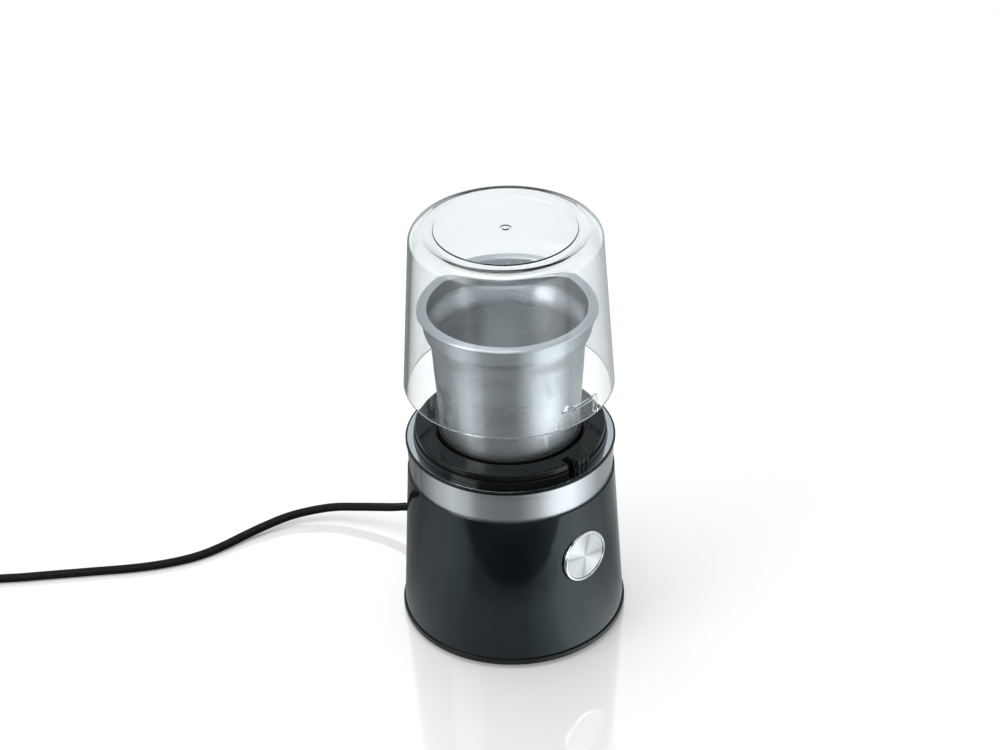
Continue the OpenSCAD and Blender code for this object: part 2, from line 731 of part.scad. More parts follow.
// Ribs inside the lid's rim: a level one, a slanted one and a stop round the lug's place,
// and the tab that goes into the collar's notch
module lid_pocket() {
    rib_r = step_r + 0.4;
    lean = atan((pocket_h + rib_t) / (lid_r * 3.6 * PI / 180));
    translate([0, 0, pocket_h + 0.2])
        sector(rib_r - 0.5, lid_r - lid_wall + 0.4, rib_t, pocket_from + 3, pocket_to);
    sector(rib_r, lid_r - lid_wall + 0.6, pocket_h / 2, pocket_to - 3.2, pocket_to);
    rotate([0, 0, pocket_from]) translate([rib_r, 0, 0.2]) rotate([lean - 90, 0, 0]) translate([0, -rib_t, 0])
        cube([lid_r - lid_wall - rib_r + 0.6, rib_t, (pocket_h + 0.6) / sin(lean)]);
    rotate([0, 0, notch_angle]) translate([tab_r0, -tab_w / 2, tab_h0])
        cube([lid_r - lid_wall - tab_r0 + 0.4, tab_w, tab_h]);
}

module bowl_cup() color(steel) rotate_extrude(convexity = 6) polygon(concat(
    [[bush_r + fit_gap, bowl_z0]],
    arc(bowl_low_r - bowl_round, bowl_z0 + bowl_round, bowl_round, -90, 0, 8),
    shoulder_points(0),
    [[neck_r, bowl_z1 - brim_t]],
    arc(flange_r - brim_t / 2, bowl_z1 - brim_t / 2, brim_t / 2, -90, 90, 8),
    arc(neck_r - bowl_t - flange_in_w + brim_t / 2, bowl_z1 - brim_t / 2, brim_t / 2, 90, 270, 8),
    [[neck_r - bowl_t, bowl_z1 - brim_t]],
    [for (i = [6:-1:0]) shoulder_points(bowl_t)[i]],
    arc(bowl_low_r - bowl_round, bowl_z0 + bowl_round, bowl_round - bowl_t, 0, -90, 8),
    [[bush_r + fit_gap, bowl_z0 + bowl_t]]));

// The S-curve from the bowl's body out to its neck, moved inwards by t
function shoulder_points(t) = [for (i = [0:6]) let (s = i / 6)
    [body_top_r - t + shoulder_w * (1 - cos(180 * s)) / 2, shoulder_z0 + shoulder_h * s]];

module bowl_base() color(soft_black) difference() {
    rotate_extrude(convexity = 6) polygon(concat(
        [[bush_r + fit_gap, web_z0], [bowl_base_r - bowl_base_t, web_z0],
        [bowl_base_r - bowl_base_t, floor_z1 + seat_gap], [bowl_base_r, floor_z1 + seat_gap],
        [bowl_base_r, bowl_z0 + bowl_base_rise]],
        arc(bowl_low_r - bowl_round, bowl_z0 + bowl_round, bowl_round + 0.15,
            -asin((bowl_round - bowl_base_rise) / (bowl_round + 0.15)), -90, 6),
        [[bush_r + fit_gap, bowl_z0 - 0.15]]));
    around(3, well_in_r - key_in - loose_gap, 0) translate([0, -key_w / 2 - loose_gap, floor_z1 - past])
        cube([10, key_w + 2 * loose_gap, key_h + loose_gap + past]);
}
module bowl_bush() color(bronze) difference() {
    union() {
        translate([0, 0, web_z0 - 0.2]) cylinder(r = bush_r, h = bush_z1 - web_z0 + 0.2);
        translate([0, 0, bowl_z0 + bowl_t]) cylinder(r = bush_flange_r, h = bush_flange_t);
    }
    translate([0, 0, web_z0 - past]) cylinder(r = spindle_r + run_gap, h = 20);
}

module shaft_seal() color(soft_black) translate([0, 0, bowl_z0 + bowl_t + bush_flange_t])
    tube(bush_flange_r, bush_r + fit_gap, seal_t);

module blade_shaft() color(bright_steel) difference() {
    translate([0, 0, driven_z0 - 0.5])
        cylinder(r = spindle_r, h = blade_z0 + blade_t + nut_h - 1 - driven_z0 + 0.5);
    translate([0, 0, driven_z0 - past]) cylinder(r = 0.6, h = past + 1);
}

module blade() color(bright_steel) translate([0, 0, blade_z0]) difference() {
    union() {
        cylinder(r = blade_w / 2 + 1, h = blade_t);
        for (turn = [0, 180]) rotate([0, 0, turn]) {
            translate([0, -blade_w / 2, 0]) cube([blade_l / 2 - blade_tip_l, blade_w, blade_t]);
            translate([blade_l / 2 - blade_tip_l - 0.2, -blade_w / 2, 0]) rotate([0, -blade_tip_angle, 0])
                cube([blade_tip_l, blade_w - 2, blade_t]);
        }
    }
    translate([0, 0, -past]) cylinder(r = spindle_r + fit_gap, h = 5);
}

module blade_nut() color(steel) translate([0, 0, blade_z0 + blade_t]) difference() {
    union() {
        cylinder(r = nut_r, h = nut_h - 1.5);
        translate([0, 0, nut_h - 1.5]) cylinder(r1 = nut_r - 0.6, r2 = nut_r - 2, h = 1.5);
    }
    translate([0, 0, -past]) cylinder(r = spindle_r + fit_gap, h = nut_h - 1 + past);
}

// The coupling's dogs, the first one centred on the given angle
module dogs(first) {
    for (i = [0:dog_count - 1])
        sector(dog_r0, coupling_r - 0.3, dog_h + 0.1, first + 360 / dog_count * i - dog_angle / 2,
            first + 360 / dog_count * i + dog_angle / 2);
}

module driven_coupling() color(soft_black) difference() {
    union() {
        translate([0, 0, driven_z0]) cylinder(r = coupling_r, h = driven_z1 - driven_z0);
        translate([0, 0, drive_z0 + disc_t + 0.4]) dogs(drive_angle + 180 / dog_count);
    }
    translate([0, 0, driven_z0 - past]) cylinder(r = spindle_r + fit_gap, h = 10);
}

module drive_coupling() color(soft_black) difference() {
    union() {
        translate([0, 0, drive_z0]) cylinder(r = coupling_r, h = disc_t);
        translate([0, 0, drive_z0 + disc_t - 0.1]) dogs(drive_angle);
    }
    translate([0, 0, drive_z0 - past]) cylinder(r = shaft_r + fit_gap, h = 10);
}

module rotor_shaft() color(bright_steel) translate([0, 0, shaft_z0])
    cylinder(r = shaft_r, h = shaft_z1 - shaft_z0);

module armature_core() color(lamination) translate([0, 0, stack_z0]) linear_extrude(stack_h) difference() {
    circle(r = armature_r);
    circle(r = shaft_r + fit_gap);
    for (i = [0:slot_count - 1]) rotate(360 / slot_count * i) {
        translate([armature_r - slot_d - 1.4, -slot_w / 2]) square([slot_d, slot_w]);
        translate([armature_r - 2, -slot_neck / 2]) square([3, slot_neck]);
    }
}

module armature_winding() color(copper) {
    for (z = [stack_z0 - winding_over, stack_z1]) translate([0, 0, z]) rotate_extrude()
        translate([shaft_r + 1.5, 0]) square([armature_r - 3 - shaft_r, winding_over]);
    for (i = [0:slot_count - 1]) rotate([0, 0, 360 / slot_count * i])
        translate([armature_r - slot_d - 1.3, 0.1 - slot_w / 2, stack_z0 - 0.2])
        cube([slot_d - 0.2, slot_w - 0.2, stack_h + 0.4]);
}

module commutator() color(copper) translate([0, 0, comm_z0]) difference() {
    tube(commutator_r, shaft_r + fit_gap, comm_h);
    for (i = [0:slot_count - 1]) rotate([0, 0, 360 / slot_count * (i + 0.5)])
        translate([commutator_r - comm_slot_w, -comm_slot_w / 2, -past])
        cube([2, comm_slot_w, comm_h - 1 + past]);
}

module cooling_fan() color(gloss_black) difference() {
    union() {
        translate([0, 0, fan_z1 - fan_disc_t]) cylinder(r = fan_r, h = fan_disc_t);
        translate([0, 0, fan_z0]) cylinder(r = shaft_r + fan_hub_w, h = fan_h);
        for (i = [0:fan_blades - 1]) rotate([0, 0, 360 / fan_blades * i])
            translate([shaft_r + fan_hub_w + 1.5, -fan_blade_t / 2, fan_z0])
            cube([fan_r - shaft_r - fan_hub_w - 2, fan_blade_t, fan_h - fan_disc_t + 0.2]);
    }
    translate([0, 0, fan_z0 - past]) cylinder(r = shaft_r + fit_gap, h = fan_h + 2 * past);
}

module stator_core() color(lamination) translate([0, 0, stack_z0]) linear_extrude(stack_h) difference() {
    intersection() {
        square([stator_w, stator_d], center = true);
        circle(r = stator_w / 2 + 4);
    }
    circle(r = armature_r + air_gap);
    for (x = [-1, 1]) for (y = [-1, 1]) scale([x, y]) {
        translate([window_x, pole_w / 2]) square([window_w, window_y - pole_w / 2]);
        rotate(52) translate([armature_r, -1.2]) square([6.5, 2.4]);
    }
    for (y = [-bolt_y, bolt_y]) translate([0, y]) circle(r = hole_r);
}

module field_coils() color(copper) for (side = [-1, 1]) scale([side, 1, 1])
    translate([window_x + coil_gap, 0, 0]) difference() {
        translate([0, coil_gap - window_y, stack_z0 - coil_over])
            cube([window_w - 2 * coil_gap, 2 * (window_y - coil_gap), stack_h + 2 * coil_over]);
        translate([-past, -pole_w / 2 - 0.2, stack_z0 - 0.2])
            cube([window_w + past, pole_w + 0.4, stack_h + 0.4]);
    }

module upper_bracket() color(steel) difference() {
    union() {
        translate([0, 0, ear_z0]) linear_extrude(bracket_t) {
            square([bracket_w, stator_d], center = true);
            square([2 * ear_x + 7, ear_w], center = true);
        }
        translate([0, 0, ear_z0 - 2 * bearing_sunk])
            cylinder(r = bearing_boss_r, h = bearing_h + 2 * bearing_sunk + 0.5);
        for (y = [-1, 1]) scale([1, y, 1]) translate([-bracket_w / 2, leg_y, stack_z1])
            cube([bracket_w, leg_t, leg_h + 0.5]);
    }
    translate([0, 0, ear_z0 - bearing_sunk]) cylinder(r = bearing_r + fit_gap, h = 10);
    translate([0, 0, ear_z0 - 2 * bearing_sunk - past]) cylinder(r = shaft_r + 0.5, h = 10);
    for (x = [-ear_x, ear_x]) translate([x, 0, ear_z0 - past]) cylinder(r = hole_r, h = bracket_t + 2 * past);
    for (y = [-bolt_y, bolt_y]) translate([0, y, stack_z1 - past]) cylinder(r = hole_r, h = 15);
}

module lower_bracket() color(steel) difference() {
    union() {
        translate([-bracket_w / 2, -stator_d / 2, strap_z0]) cube([bracket_w, stator_d, bracket_t]);
        translate([0, 0, lower_boss_z0]) cylinder(r = bearing_boss_r, h = bearing_h + 2 * bearing_sunk + 0.2);
        for (y = [-1, 1]) scale([1, y, 1]) translate([-bracket_w / 2, leg_y, strap_z1 - 0.5])
            cube([bracket_w, leg_t, stack_z0 - strap_z1 + 0.5]);
    }
    translate([0, 0, lower_boss_z0 - past])
        cylinder(r = bearing_r + fit_gap, h = bearing_h + bearing_sunk + 0.2 + past);
    translate([0, 0, lower_boss_z0 + 2]) cylinder(r = shaft_r + 0.5, h = 10);
    for (y = [-bolt_y, bolt_y]) translate([0, y, strap_z0 - past])
        cylinder(r = hole_r, h = stack_z0 - strap_z0 + 2 * past);
}

module upper_bearing() color(bronze) translate([0, 0, ear_z0 - bearing_sunk + seat_gap])
    tube(bearing_r, shaft_r + run_gap, bearing_h);

module lower_bearing() color(bronze) translate([0, 0, lower_boss_z0 + bearing_sunk])
    tube(bearing_r, shaft_r + run_gap, bearing_h);

module motor_bolts() color(steel) for (y = [-bolt_y, bolt_y]) translate([0, y, 0]) {
    translate([0, 0, strap_z0]) screw(screw_r, ear_z1 + head_h - strap_z0, bolt_head_r, head_h);
    translate([0, 0, ear_z1]) tube(bolt_head_r, screw_r + fit_gap, head_h);
}

module motor_dampers() color(soft_black) for (x = [-ear_x, ear_x]) translate([x, 0, ear_z1])
    tube(damper_r, hole_r + 0.2, damper_t);

module motor_screws() color(steel) for (x = [-ear_x, ear_x]) translate([x, 0, ear_z0])
    screw(screw_r, bracket_t + damper_t + mount_h - 0.5, head_r, head_h);

module brush_carrier() color("#7a4a2a") difference() {
    translate([-carrier_l / 2, -carrier_w / 2, strap_z1]) cube([carrier_l, carrier_w, carrier_t]);
    translate([0, 0, strap_z1 - past]) cylinder(r = bearing_boss_r + loose_gap, h = 10);
}

module brush_holders() color(bronze) for (side = [-1, 1]) scale([side, 1, 1])
    translate([commutator_r + 2.5, 0, 0]) difference() {
        translate([0, -brush_w / 2 - 1, strap_z1 + carrier_t]) cube([holder_l, brush_w + 2, holder_h]);
        translate([-past, -brush_w / 2 - seat_gap, brush_z - brush_w / 2 - seat_gap])
            cube([holder_l - 1 + past, brush_w + 2 * seat_gap, brush_w + 2 * seat_gap]);
    }

module carbon_brushes() color(soft_black) for (side = [-1, 1]) scale([side, 1, 1]) difference() {
    translate([0, -brush_w / 2, brush_z - brush_w / 2]) cube([commutator_r + brush_l, brush_w, brush_w]);
    translate([0, 0, brush_z - brush_w]) cylinder(r = commutator_r + loose_gap, h = 2 * brush_w);
}

module button_cap() color(bright_steel) at_button() rotate_extrude() polygon(concat(
    [[0, -cap_floor], [button_r - 1, -cap_floor], [button_r - 1, -cap_depth], [button_r, -cap_depth]],
    arc(button_r - 0.8, button_proud - 0.8, 0.8, 0, 90, 6),
    [[face_r + seat_gap, button_proud - 0.3], [face_r + seat_gap, button_proud - face_sunk - face_t],
    [0, button_proud - face_sunk - face_t]]));

module button_face() color(steel) at_button() translate([0, 0, button_proud - face_sunk - face_t])
    cylinder(r = face_r, h = face_t);

module button_stem() color(gloss_black) at_button() {
    translate([0, 0, -cap_floor - stem_disc_t]) cylinder(r = button_spring_r + 2, h = stem_disc_t);
    translate([0, 0, -stem_l]) cylinder(r = stem_r, h = stem_l - cap_floor - 0.5);
}

module button_spring() color(bright_steel) at_button() translate([0, 0, sleeve_floor - sleeve_depth])
    coil_spring(button_spring_r, 0.4, sleeve_depth - sleeve_floor - cap_floor - stem_disc_t, 3);

// A small snap switch with its plunger hole up and its tabs down, from z = 0 to its height
module snap_switch() {
    difference() {
        translate([-switch_w / 2, -switch_d / 2, 0]) cube([switch_w, switch_d, switch_h]);
        translate([0, 0, switch_h - plunger_l + 0.2]) cylinder(r = plunger_r + run_gap, h = plunger_l);
        for (x = [-4, 4]) translate([x, 0, 2]) rotate([90, 0, 0]) cylinder(r = 1, h = 10, center = true);
    }
}

module start_switch() color(gloss_black) at_button() {
    translate([0, 0, start_switch_z1 - switch_h]) snap_switch();
    for (x = [-4, 0, 4]) translate([x - 1.2, -0.25, start_switch_z1 - switch_h - tab_l])
        cube([2.4, 0.5, tab_l + 0.5]);
}

module start_plunger() color("#c23b2e") at_button() translate([0, 0, start_top - plunger_l + 0.4])
    cylinder(r = plunger_r, h = plunger_l - 0.4);

module interlock_pin() color(gloss_black) rotate([0, 0, notch_angle]) translate([pin_circle_r, 0, 0]) {
    translate([0, 0, pin_z0]) cylinder(r = pin_r, h = pin_z1 - pin_z0);
    translate([0, 0, pin_flange_z1 - pin_flange_t]) cylinder(r = pin_flange_r, h = pin_flange_t);
}

module interlock_spring() color(bright_steel) rotate([0, 0, notch_angle])
    translate([pin_circle_r, 0, lock_switch_z1])
    coil_spring(lock_spring_r, wire_r, pin_flange_z1 - pin_flange_t - lock_switch_z1, 4);

module interlock_switch() color(gloss_black) rotate([0, 0, notch_angle])
    translate([pin_circle_r, 0, flange_z1]) rotate([0, 0, 90]) snap_switch();

module interlock_plunger() color("#c23b2e") rotate([0, 0, notch_angle])
    translate([pin_circle_r, 0, pin_z0 - loose_gap - plunger_l]) cylinder(r = plunger_r, h = plunger_l);

module terminal_block() color("#d8d4c6") translate([-block_w / 2, block_y0, block_z0]) difference() {
    cube([block_w, block_t, block_h]);
    for (x = [block_w / 4, 3 * block_w / 4]) translate([x, block_t / 2, block_h / 2])
        cylinder(r = 2.2, h = block_h);
}

module suppressor() color("#c9a227") translate([suppressor_x, -suppressor_w / 2, plate_z1])
    cube([suppressor_t, suppressor_w, suppressor_h]);

module cord_clamp() color(gloss_black) difference() {
    translate([-clamp_w / 2, clamp_y0, clamp_z]) cube([clamp_w, clamp_t, clamp_h]);
    translate([0, clamp_y0 - past, cord_z]) rotate([-90, 0, 0])
        oval(cord_w + 2 * seat_gap, cord_t + 2 * seat_gap, clamp_t + 2 * past);
    translate([-cord_w / 2 - seat_gap, clamp_y0 - past, clamp_z - past])
        cube([cord_w + 2 * seat_gap, clamp_t + 2 * past, cord_t / 2 + past]);
    for (x = [-clamp_screw_x, clamp_screw_x]) translate([x, clamp_y0 + clamp_t / 2, clamp_z - past])
        cylinder(r = clamp_screw_r + seat_gap, h = clamp_h + 2 * past);
}

module clamp_screws() color(steel) for (x = [-clamp_screw_x, clamp_screw_x])
    translate([x, clamp_y0 + clamp_t / 2, clamp_z + clamp_h]) rotate([180, 0, 0])
    screw(clamp_screw_r, clamp_screw_l, 2 * clamp_screw_r, 1.2);

// An oval bar along +Z
module oval(w, t, l) {
    linear_extrude(l) {
        square([w - t, t], center = true);
        for (x = [-1, 1]) translate([x * (w - t) / 2, 0]) circle(d = t);
    }
}

module cord_tail() color(soft_black) translate([0, block_y0 + block_t + 0.3, cord_z]) rotate([-90, 0, 0])
    oval(cord_w, cord_t, boot_in_y - boot_in_t - block_y0 - block_t - 0.3);

module strain_relief() color(soft_black) translate([0, 0, cord_z]) rotate([-90, 0, 0]) {
    translate([0, 0, boot_in_y - boot_in_t]) cylinder(r = boot_flange_r, h = boot_in_t);
    translate([0, 0, boot_in_y - 0.5]) cylinder(r = boot_neck_r, h = boot_y0 - boot_in_y + 1);
    translate([0, 0, boot_y0]) cylinder(r = boot_flange_r, h = boot_flange_t);
    translate([0, 0, boot_y0 + boot_flange_t - 0.1])
        cylinder(r1 = boot_neck_r, r2 = cord_w / 2 + 0.6, h = boot_l - boot_flange_t + 0.1);
}

module mains_cord() color(soft_black) oval_tube(cord_way, cord_w, cord_t);

module cord_coil() color(soft_black) translate([coil_x, coil_y, 0]) rotate_extrude() polygon([
    [coil_r0, 0], [coil_r1, 0], [coil_r1, cord_t], [coil_r1 - turn_pitch / 2, coil_h],
    [coil_r0 + turn_pitch / 2, coil_h], [coil_r0, cord_t]
]);

module plug_cord() color(soft_black) oval_tube(plug_way, cord_w, cord_t);

module plug_body() color(soft_black) translate([plug_x, plug_y, plug_t / 2]) {
    rotate([90, 0, 0]) cylinder(r1 = cord_w / 2 + 0.6, r2 = 5, h = plug_boot_l);
    hull() {
        translate([0, -plug_boot_l - 5, 0]) rotate([90, 0, 0])
            oval(18, plug_t - 3, 1, $fn = 32);
        translate([0, -plug_boot_l - 12, 0]) rotate([90, 0, 0])
            oval(plug_w, plug_t, plug_l - 12, $fn = 32);
        translate([0, -plug_boot_l + 2, 0]) rotate([90, 0, 0]) cylinder(r = 5, h = 1, $fn = 32);
    }
}

module plug_pins() color(steel) for (side = [-1, 1])
    translate([plug_x + side * plug_pin_gap / 2, plug_y - plug_boot_l - plug_l, plug_t / 2])
    rotate([90, 0, 0]) {
        cylinder(r = plug_pin_r, h = plug_pin_l - 1);
        translate([0, 0, plug_pin_l - 1]) cylinder(r1 = plug_pin_r, r2 = plug_pin_r - 0.8, h = 1);
    }

body_shell();
base_plate();
rubber_feet();
base_screws();
steel_band();
trim_ring();
ledge_ring();
top_collar();
collar_screws();
lid();
bowl_cup();
bowl_base();
bowl_bush();
shaft_seal();
blade_shaft();
blade();
blade_nut();
driven_coupling();
drive_coupling();
rotor_shaft();
armature_core();
armature_winding();
commutator();
cooling_fan();
stator_core();
field_coils();
upper_bracket();
lower_bracket();
upper_bearing();
lower_bearing();
motor_bolts();
motor_dampers();
motor_screws();
brush_carrier();
brush_holders();
carbon_brushes();
button_cap();
button_face();
button_stem();
button_spring();
start_switch();
start_plunger();
interlock_pin();
interlock_spring();
interlock_switch();
interlock_plunger();
terminal_block();
suppressor();
cord_clamp();
clamp_screws();
cord_tail();
strain_relief();
mains_cord();
cord_coil();
plug_cord();
plug_body();
plug_pins();
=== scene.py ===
import math
import bmesh
import bpy
import numpy as np
from mathutils import Matrix, Vector


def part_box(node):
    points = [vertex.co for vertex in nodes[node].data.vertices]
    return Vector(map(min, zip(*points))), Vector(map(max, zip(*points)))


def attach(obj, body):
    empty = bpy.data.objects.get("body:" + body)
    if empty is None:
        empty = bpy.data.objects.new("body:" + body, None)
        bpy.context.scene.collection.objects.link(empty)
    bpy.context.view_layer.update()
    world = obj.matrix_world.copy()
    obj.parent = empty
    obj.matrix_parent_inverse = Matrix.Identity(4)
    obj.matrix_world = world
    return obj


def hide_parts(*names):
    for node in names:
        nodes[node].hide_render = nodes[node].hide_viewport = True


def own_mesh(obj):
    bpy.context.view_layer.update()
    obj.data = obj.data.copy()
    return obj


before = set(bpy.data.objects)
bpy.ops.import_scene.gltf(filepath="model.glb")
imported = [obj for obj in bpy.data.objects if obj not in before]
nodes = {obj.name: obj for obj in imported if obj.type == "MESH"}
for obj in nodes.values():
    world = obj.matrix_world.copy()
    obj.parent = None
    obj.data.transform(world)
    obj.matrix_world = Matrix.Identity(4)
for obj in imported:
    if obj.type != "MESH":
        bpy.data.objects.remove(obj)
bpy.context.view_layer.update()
scene = bpy.context.scene
scene.view_settings.view_transform = "Standard"

# ---------------------------------------------------------------- Camera
# It stands in front of the button's left side and looks down on the lifted lid.
# The back is a 36 mm sensor with a 93.7 mm lens, turned very slightly on its axis.
heading, pitch, roll = (math.radians(a) for a in (41.262, 33.102, -1.483))
stand = (-0.6833, -0.7724, 0.8061)
gaze = Vector((math.sin(heading) * math.cos(pitch), math.cos(heading) * math.cos(pitch), -math.sin(pitch)))
level = gaze.cross(Vector((0, 0, 1))).normalized()
upright = level.cross(gaze)
right = math.cos(roll) * level + math.sin(roll) * upright
above = math.cos(roll) * upright - math.sin(roll) * level
camera = bpy.data.objects.new("camera", bpy.data.cameras.new("camera"))
camera.data.sensor_width = 36
camera.data.lens = 93.72
camera.data.clip_start = 0.01
camera.data.clip_end = 50
turn = Matrix((right, above, -gaze)).transposed().to_4x4()
camera.matrix_world = Matrix.Translation(stand) @ turn
scene.collection.objects.link(camera)
scene.camera = camera

# ---------------------------------------------------------------- Mains lead
# A flat twin flex, 5.2 x 3.2 mm, black PVC drawn over two cores, with a shallow valley between them.
# It comes out of the boot at the back, sinks to the table, and its spare length is wound up and tied.
# Paths and outlines are in millimetres here and below, and new_piece makes them metres.
MM = 0.001
lead_w, lead_t = 5.2, 3.2
lead_z, boot_tip = 16, 74.04  # the lead's height in the boot, and how far back the boot reaches
lying = 1.7  # the height of the lead's middle on the table
plug_x, plug_y, plug_z = -284, 131, 6.8
lead_way = [
    (0, boot_tip, lead_z), (0, boot_tip + 2, lead_z), (-1, 81, 14.8), (-4, 88, 12.3), (-9, 97, 10.2),
    (-15, 106, 8.6), (-22, 115, 7.2), (-31, 122, 6), (-42, 128, 4.6), (-54, 131, 3.6), (-67, 133, 2.6),
    (-80, 134, 2), *((x, y, lying) for x, y in (
        (-93, 136), (-105, 140), (-117, 146), (-128, 153), (-139, 161), (-150, 169), (-161, 177),
        (-172, 185), (-182, 193), (-192, 201), (-202, 208))),
]
plug_way = [
    (-264, 200, 5.1), (-270, 190, 5.1), (-275, 180, 4.5), (-279, 170, 3), (-281.5, 160, 2), (-283, 150, 2.1),
    (-283.6, 141, 4), (-284, 135, 6.2), (plug_x, plug_y + 2, plug_z), (plug_x, plug_y, plug_z),
]
coil_centre, coil_radius, turn_gap = (-234, 188), 34.4, 5.4
coil_enters, coil_sweep = 48.5, 1530


def eased(value, start, end):
    """0 up to the start, 1 from the end on, and a soft rise between them."""
    t = min(1, max(0, (value - start) / (end - start)))
    return t * t * (3 - 2 * t)


def coil_place(angle):
    """Radius and height of the wound lead, after so many degrees: three turns inwards, then out on top."""
    radius = (coil_radius - turn_gap * eased(angle, 300, 360) - turn_gap * eased(angle, 660, 720)
              + turn_gap / 2 * eased(angle, 1020, 1080) + turn_gap * eased(angle, 1380, 1440))
    return radius, lying + 2 * lying * eased(angle, 960, 1020)


def wound(angle):
    """A point of the wound lead, after so many degrees."""
    radius, height = coil_place(angle)
    a = math.radians(coil_enters + angle)
    return (coil_centre[0] + radius * math.cos(a), coil_centre[1] + radius * math.sin(a), height)


def smooth_line(points, step):
    """A smooth curve through the points, with a new point every step."""
    p = np.array(points, float)
    p = np.vstack([2 * p[0] - p[1], p, 2 * p[-1] - p[-2]])
    line = []
    for a, b, c, d in zip(p, p[1:], p[2:], p[3:]):
        count = max(1, math.ceil(np.linalg.norm(c - b) / step))
        for t in np.arange(count) / count:
            line.append(0.5 * (2 * b + (c - a) * t + (2 * a - 5 * b + 4 * c - d) * t * t
                               + (3 * b - a - 3 * c + d) * t ** 3))
    return np.array(line + [p[-2]])


crease = math.radians(32)


def new_piece(name, verts, faces):
    """A piece from points in millimetres and faces, with its faces turned outwards."""
    mesh = bpy.data.meshes.new(name)
    mesh.from_pydata([(x * MM, y * MM, z * MM) for x, y, z in verts], [], faces)
    work = bmesh.new()
    work.from_mesh(mesh)
    bmesh.ops.remove_doubles(work, verts=work.verts, dist=1e-7)
    bmesh.ops.recalc_face_normals(work, faces=work.faces)
    work.to_mesh(mesh)
    work.free()
    mesh.shade_smooth()
    mesh.set_sharp_from_angle(angle=crease)
    piece = bpy.data.objects.new(name, mesh)
    scene.collection.objects.link(piece)
    return piece


def skinned(name, rings, closed=False, on_axis=()):
    """A piece through rings of points, flat at both ends or closed on itself.

    The points on_axis, given by their places in a ring, lie together in every ring.
    """
    n, faces = len(rings[0]), []
    for i in range(len(rings) - (not closed)):
        here, there = n * i, n * ((i + 1) % len(rings))
        for k in range(n):
            m = (k + 1) % n
            face = (here + k, here + m, *(there + j for j in (m, k) if j not in on_axis))
            if len(face) > 2:
                faces.append(face)
    if not closed:
        faces += [tuple(range(n)), tuple(range(n * (len(rings) - 1), n * len(rings)))]
    return new_piece(name, [point for ring in rings for point in ring], faces)


def add(tree, kind, values=None, **settings):
    """A node of that kind, with its settings, and with its inputs linked or set."""
    node = tree.nodes.new(kind)
    for name, value in settings.items():
        setattr(node, name, value)
    for socket, value in (values or {}).items():
        if isinstance(value, bpy.types.NodeSocket):
            tree.links.new(value, node.inputs[socket])
        else:
            node.inputs[socket].default_value = value
    return node


def new_finish(name, **plain):
    """A material with its shader's plain values set, and the piece's own coordinates."""
    finish = bpy.data.materials.new(name)
    finish.use_nodes = True
    tree = finish.node_tree
    shader = tree.nodes["Principled BSDF"]
    for socket, value in plain.items():
        shader.inputs[socket.replace("_", " ")].default_value = value
    return finish, tree, shader, add(tree, "ShaderNodeTexCoord").outputs["Object"]


def node_group(kind, name, inputs, outputs):
    """An empty group of nodes with named inputs, given as (kind, value), and outputs, given as kinds."""
    group = bpy.data.node_groups.new(name, kind + "NodeTree")
    for label, (sort, value) in inputs.items():
        socket = group.interface.new_socket(name=label, in_out="INPUT", socket_type="NodeSocket" + sort)
        if value is not None:
            socket.default_value = value
    for label, sort in outputs.items():
        group.interface.new_socket(name=label, in_out="OUTPUT", socket_type="NodeSocket" + sort)
    return group, group.nodes.new("NodeGroupInput").outputs, group.nodes.new("NodeGroupOutput").inputs


def blended(tree, factor, first, second, way="MIX"):
    """The colour between two colours."""
    mix = add(tree, "ShaderNodeMix", {0: factor, 6: first, 7: second}, data_type="RGBA", blend_type=way)
    return mix.outputs[2]


def reckoned(tree, operation, *values):
    return add(tree, "ShaderNodeMath", dict(enumerate(values)), operation=operation).outputs[0]


def plus(tree, first, second):
    return reckoned(tree, "ADD", first, second)


def times(tree, product, *values):
    for value in values:
        product = reckoned(tree, "MULTIPLY", product, value)
    return product


def ranged(tree, value, low, high, to_low=0.0, to_high=1.0):
    """A value with the span from low to high moved to another span, and held at its ends."""
    limits = {"Value": value, "From Min": low, "From Max": high, "To Min": to_low, "To Max": to_high}
    return add(tree, "ShaderNodeMapRange", limits).outputs[0]


def noise(tree, place, scale, detail, **more):
    """A soft random pattern, from 0 to 1."""
    values = {"Vector": place, "Scale": scale, "Detail": detail, **more}
    return add(tree, "ShaderNodeTexNoise", values).outputs[0]


def bumped(tree, height, depth_mm):
    """The normal of a surface whose height varies by so much."""
    values = {"Height": height, "Strength": 1.0, "Distance": depth_mm * MM}
    return add(tree, "ShaderNodeBump", values).outputs[0]


def feed(tree, inputs, **sources):
    """Links a source to each of the named inputs."""
    for socket, source in sources.items():
        tree.links.new(source, inputs[socket.replace("_", " ")])


# Moulded skin: the fine grain of the mould, slow clouds in the colour, and a little dust
two_colours = {"Dark": ("Color", (0, 0, 0, 1)), "Light": ("Color", (1, 1, 1, 1))}
surface = {"Colour": "Color", "Roughness": "Float", "Height": "Float"}
skin, given, puts = node_group(
    "Shader", "Moulded skin",
    {"Place": ("Vector", None), **two_colours, "Roughness": ("Float", 0.4), "Grain size": ("Float", 0.0005),
     "Dust": ("Float", 0.2)}, surface)
grain = noise(skin, given["Place"], reckoned(skin, "DIVIDE", 1.0, given["Grain size"]), 3.0)
cloud = noise(skin, given["Place"], 34.0, 4.0, Distortion=0.6)
speck = noise(skin, given["Place"], 1150.0, 1.0)
dusty = times(skin, ranged(skin, speck, 0.67, 0.74), given["Dust"])
shade = plus(skin, times(skin, cloud, 0.6), times(skin, grain, 0.4))
clean = blended(skin, ranged(skin, shade, 0.35, 0.65), given["Dark"], given["Light"])
uneven = ranged(skin, cloud, 0.3, 0.7, -0.05, 0.05)
feed(skin, puts, Colour=blended(skin, dusty, clean, (0.35, 0.35, 0.34, 1)), Height=grain,
     Roughness=plus(skin, plus(skin, given["Roughness"], uneven), times(skin, dusty, 0.4)))


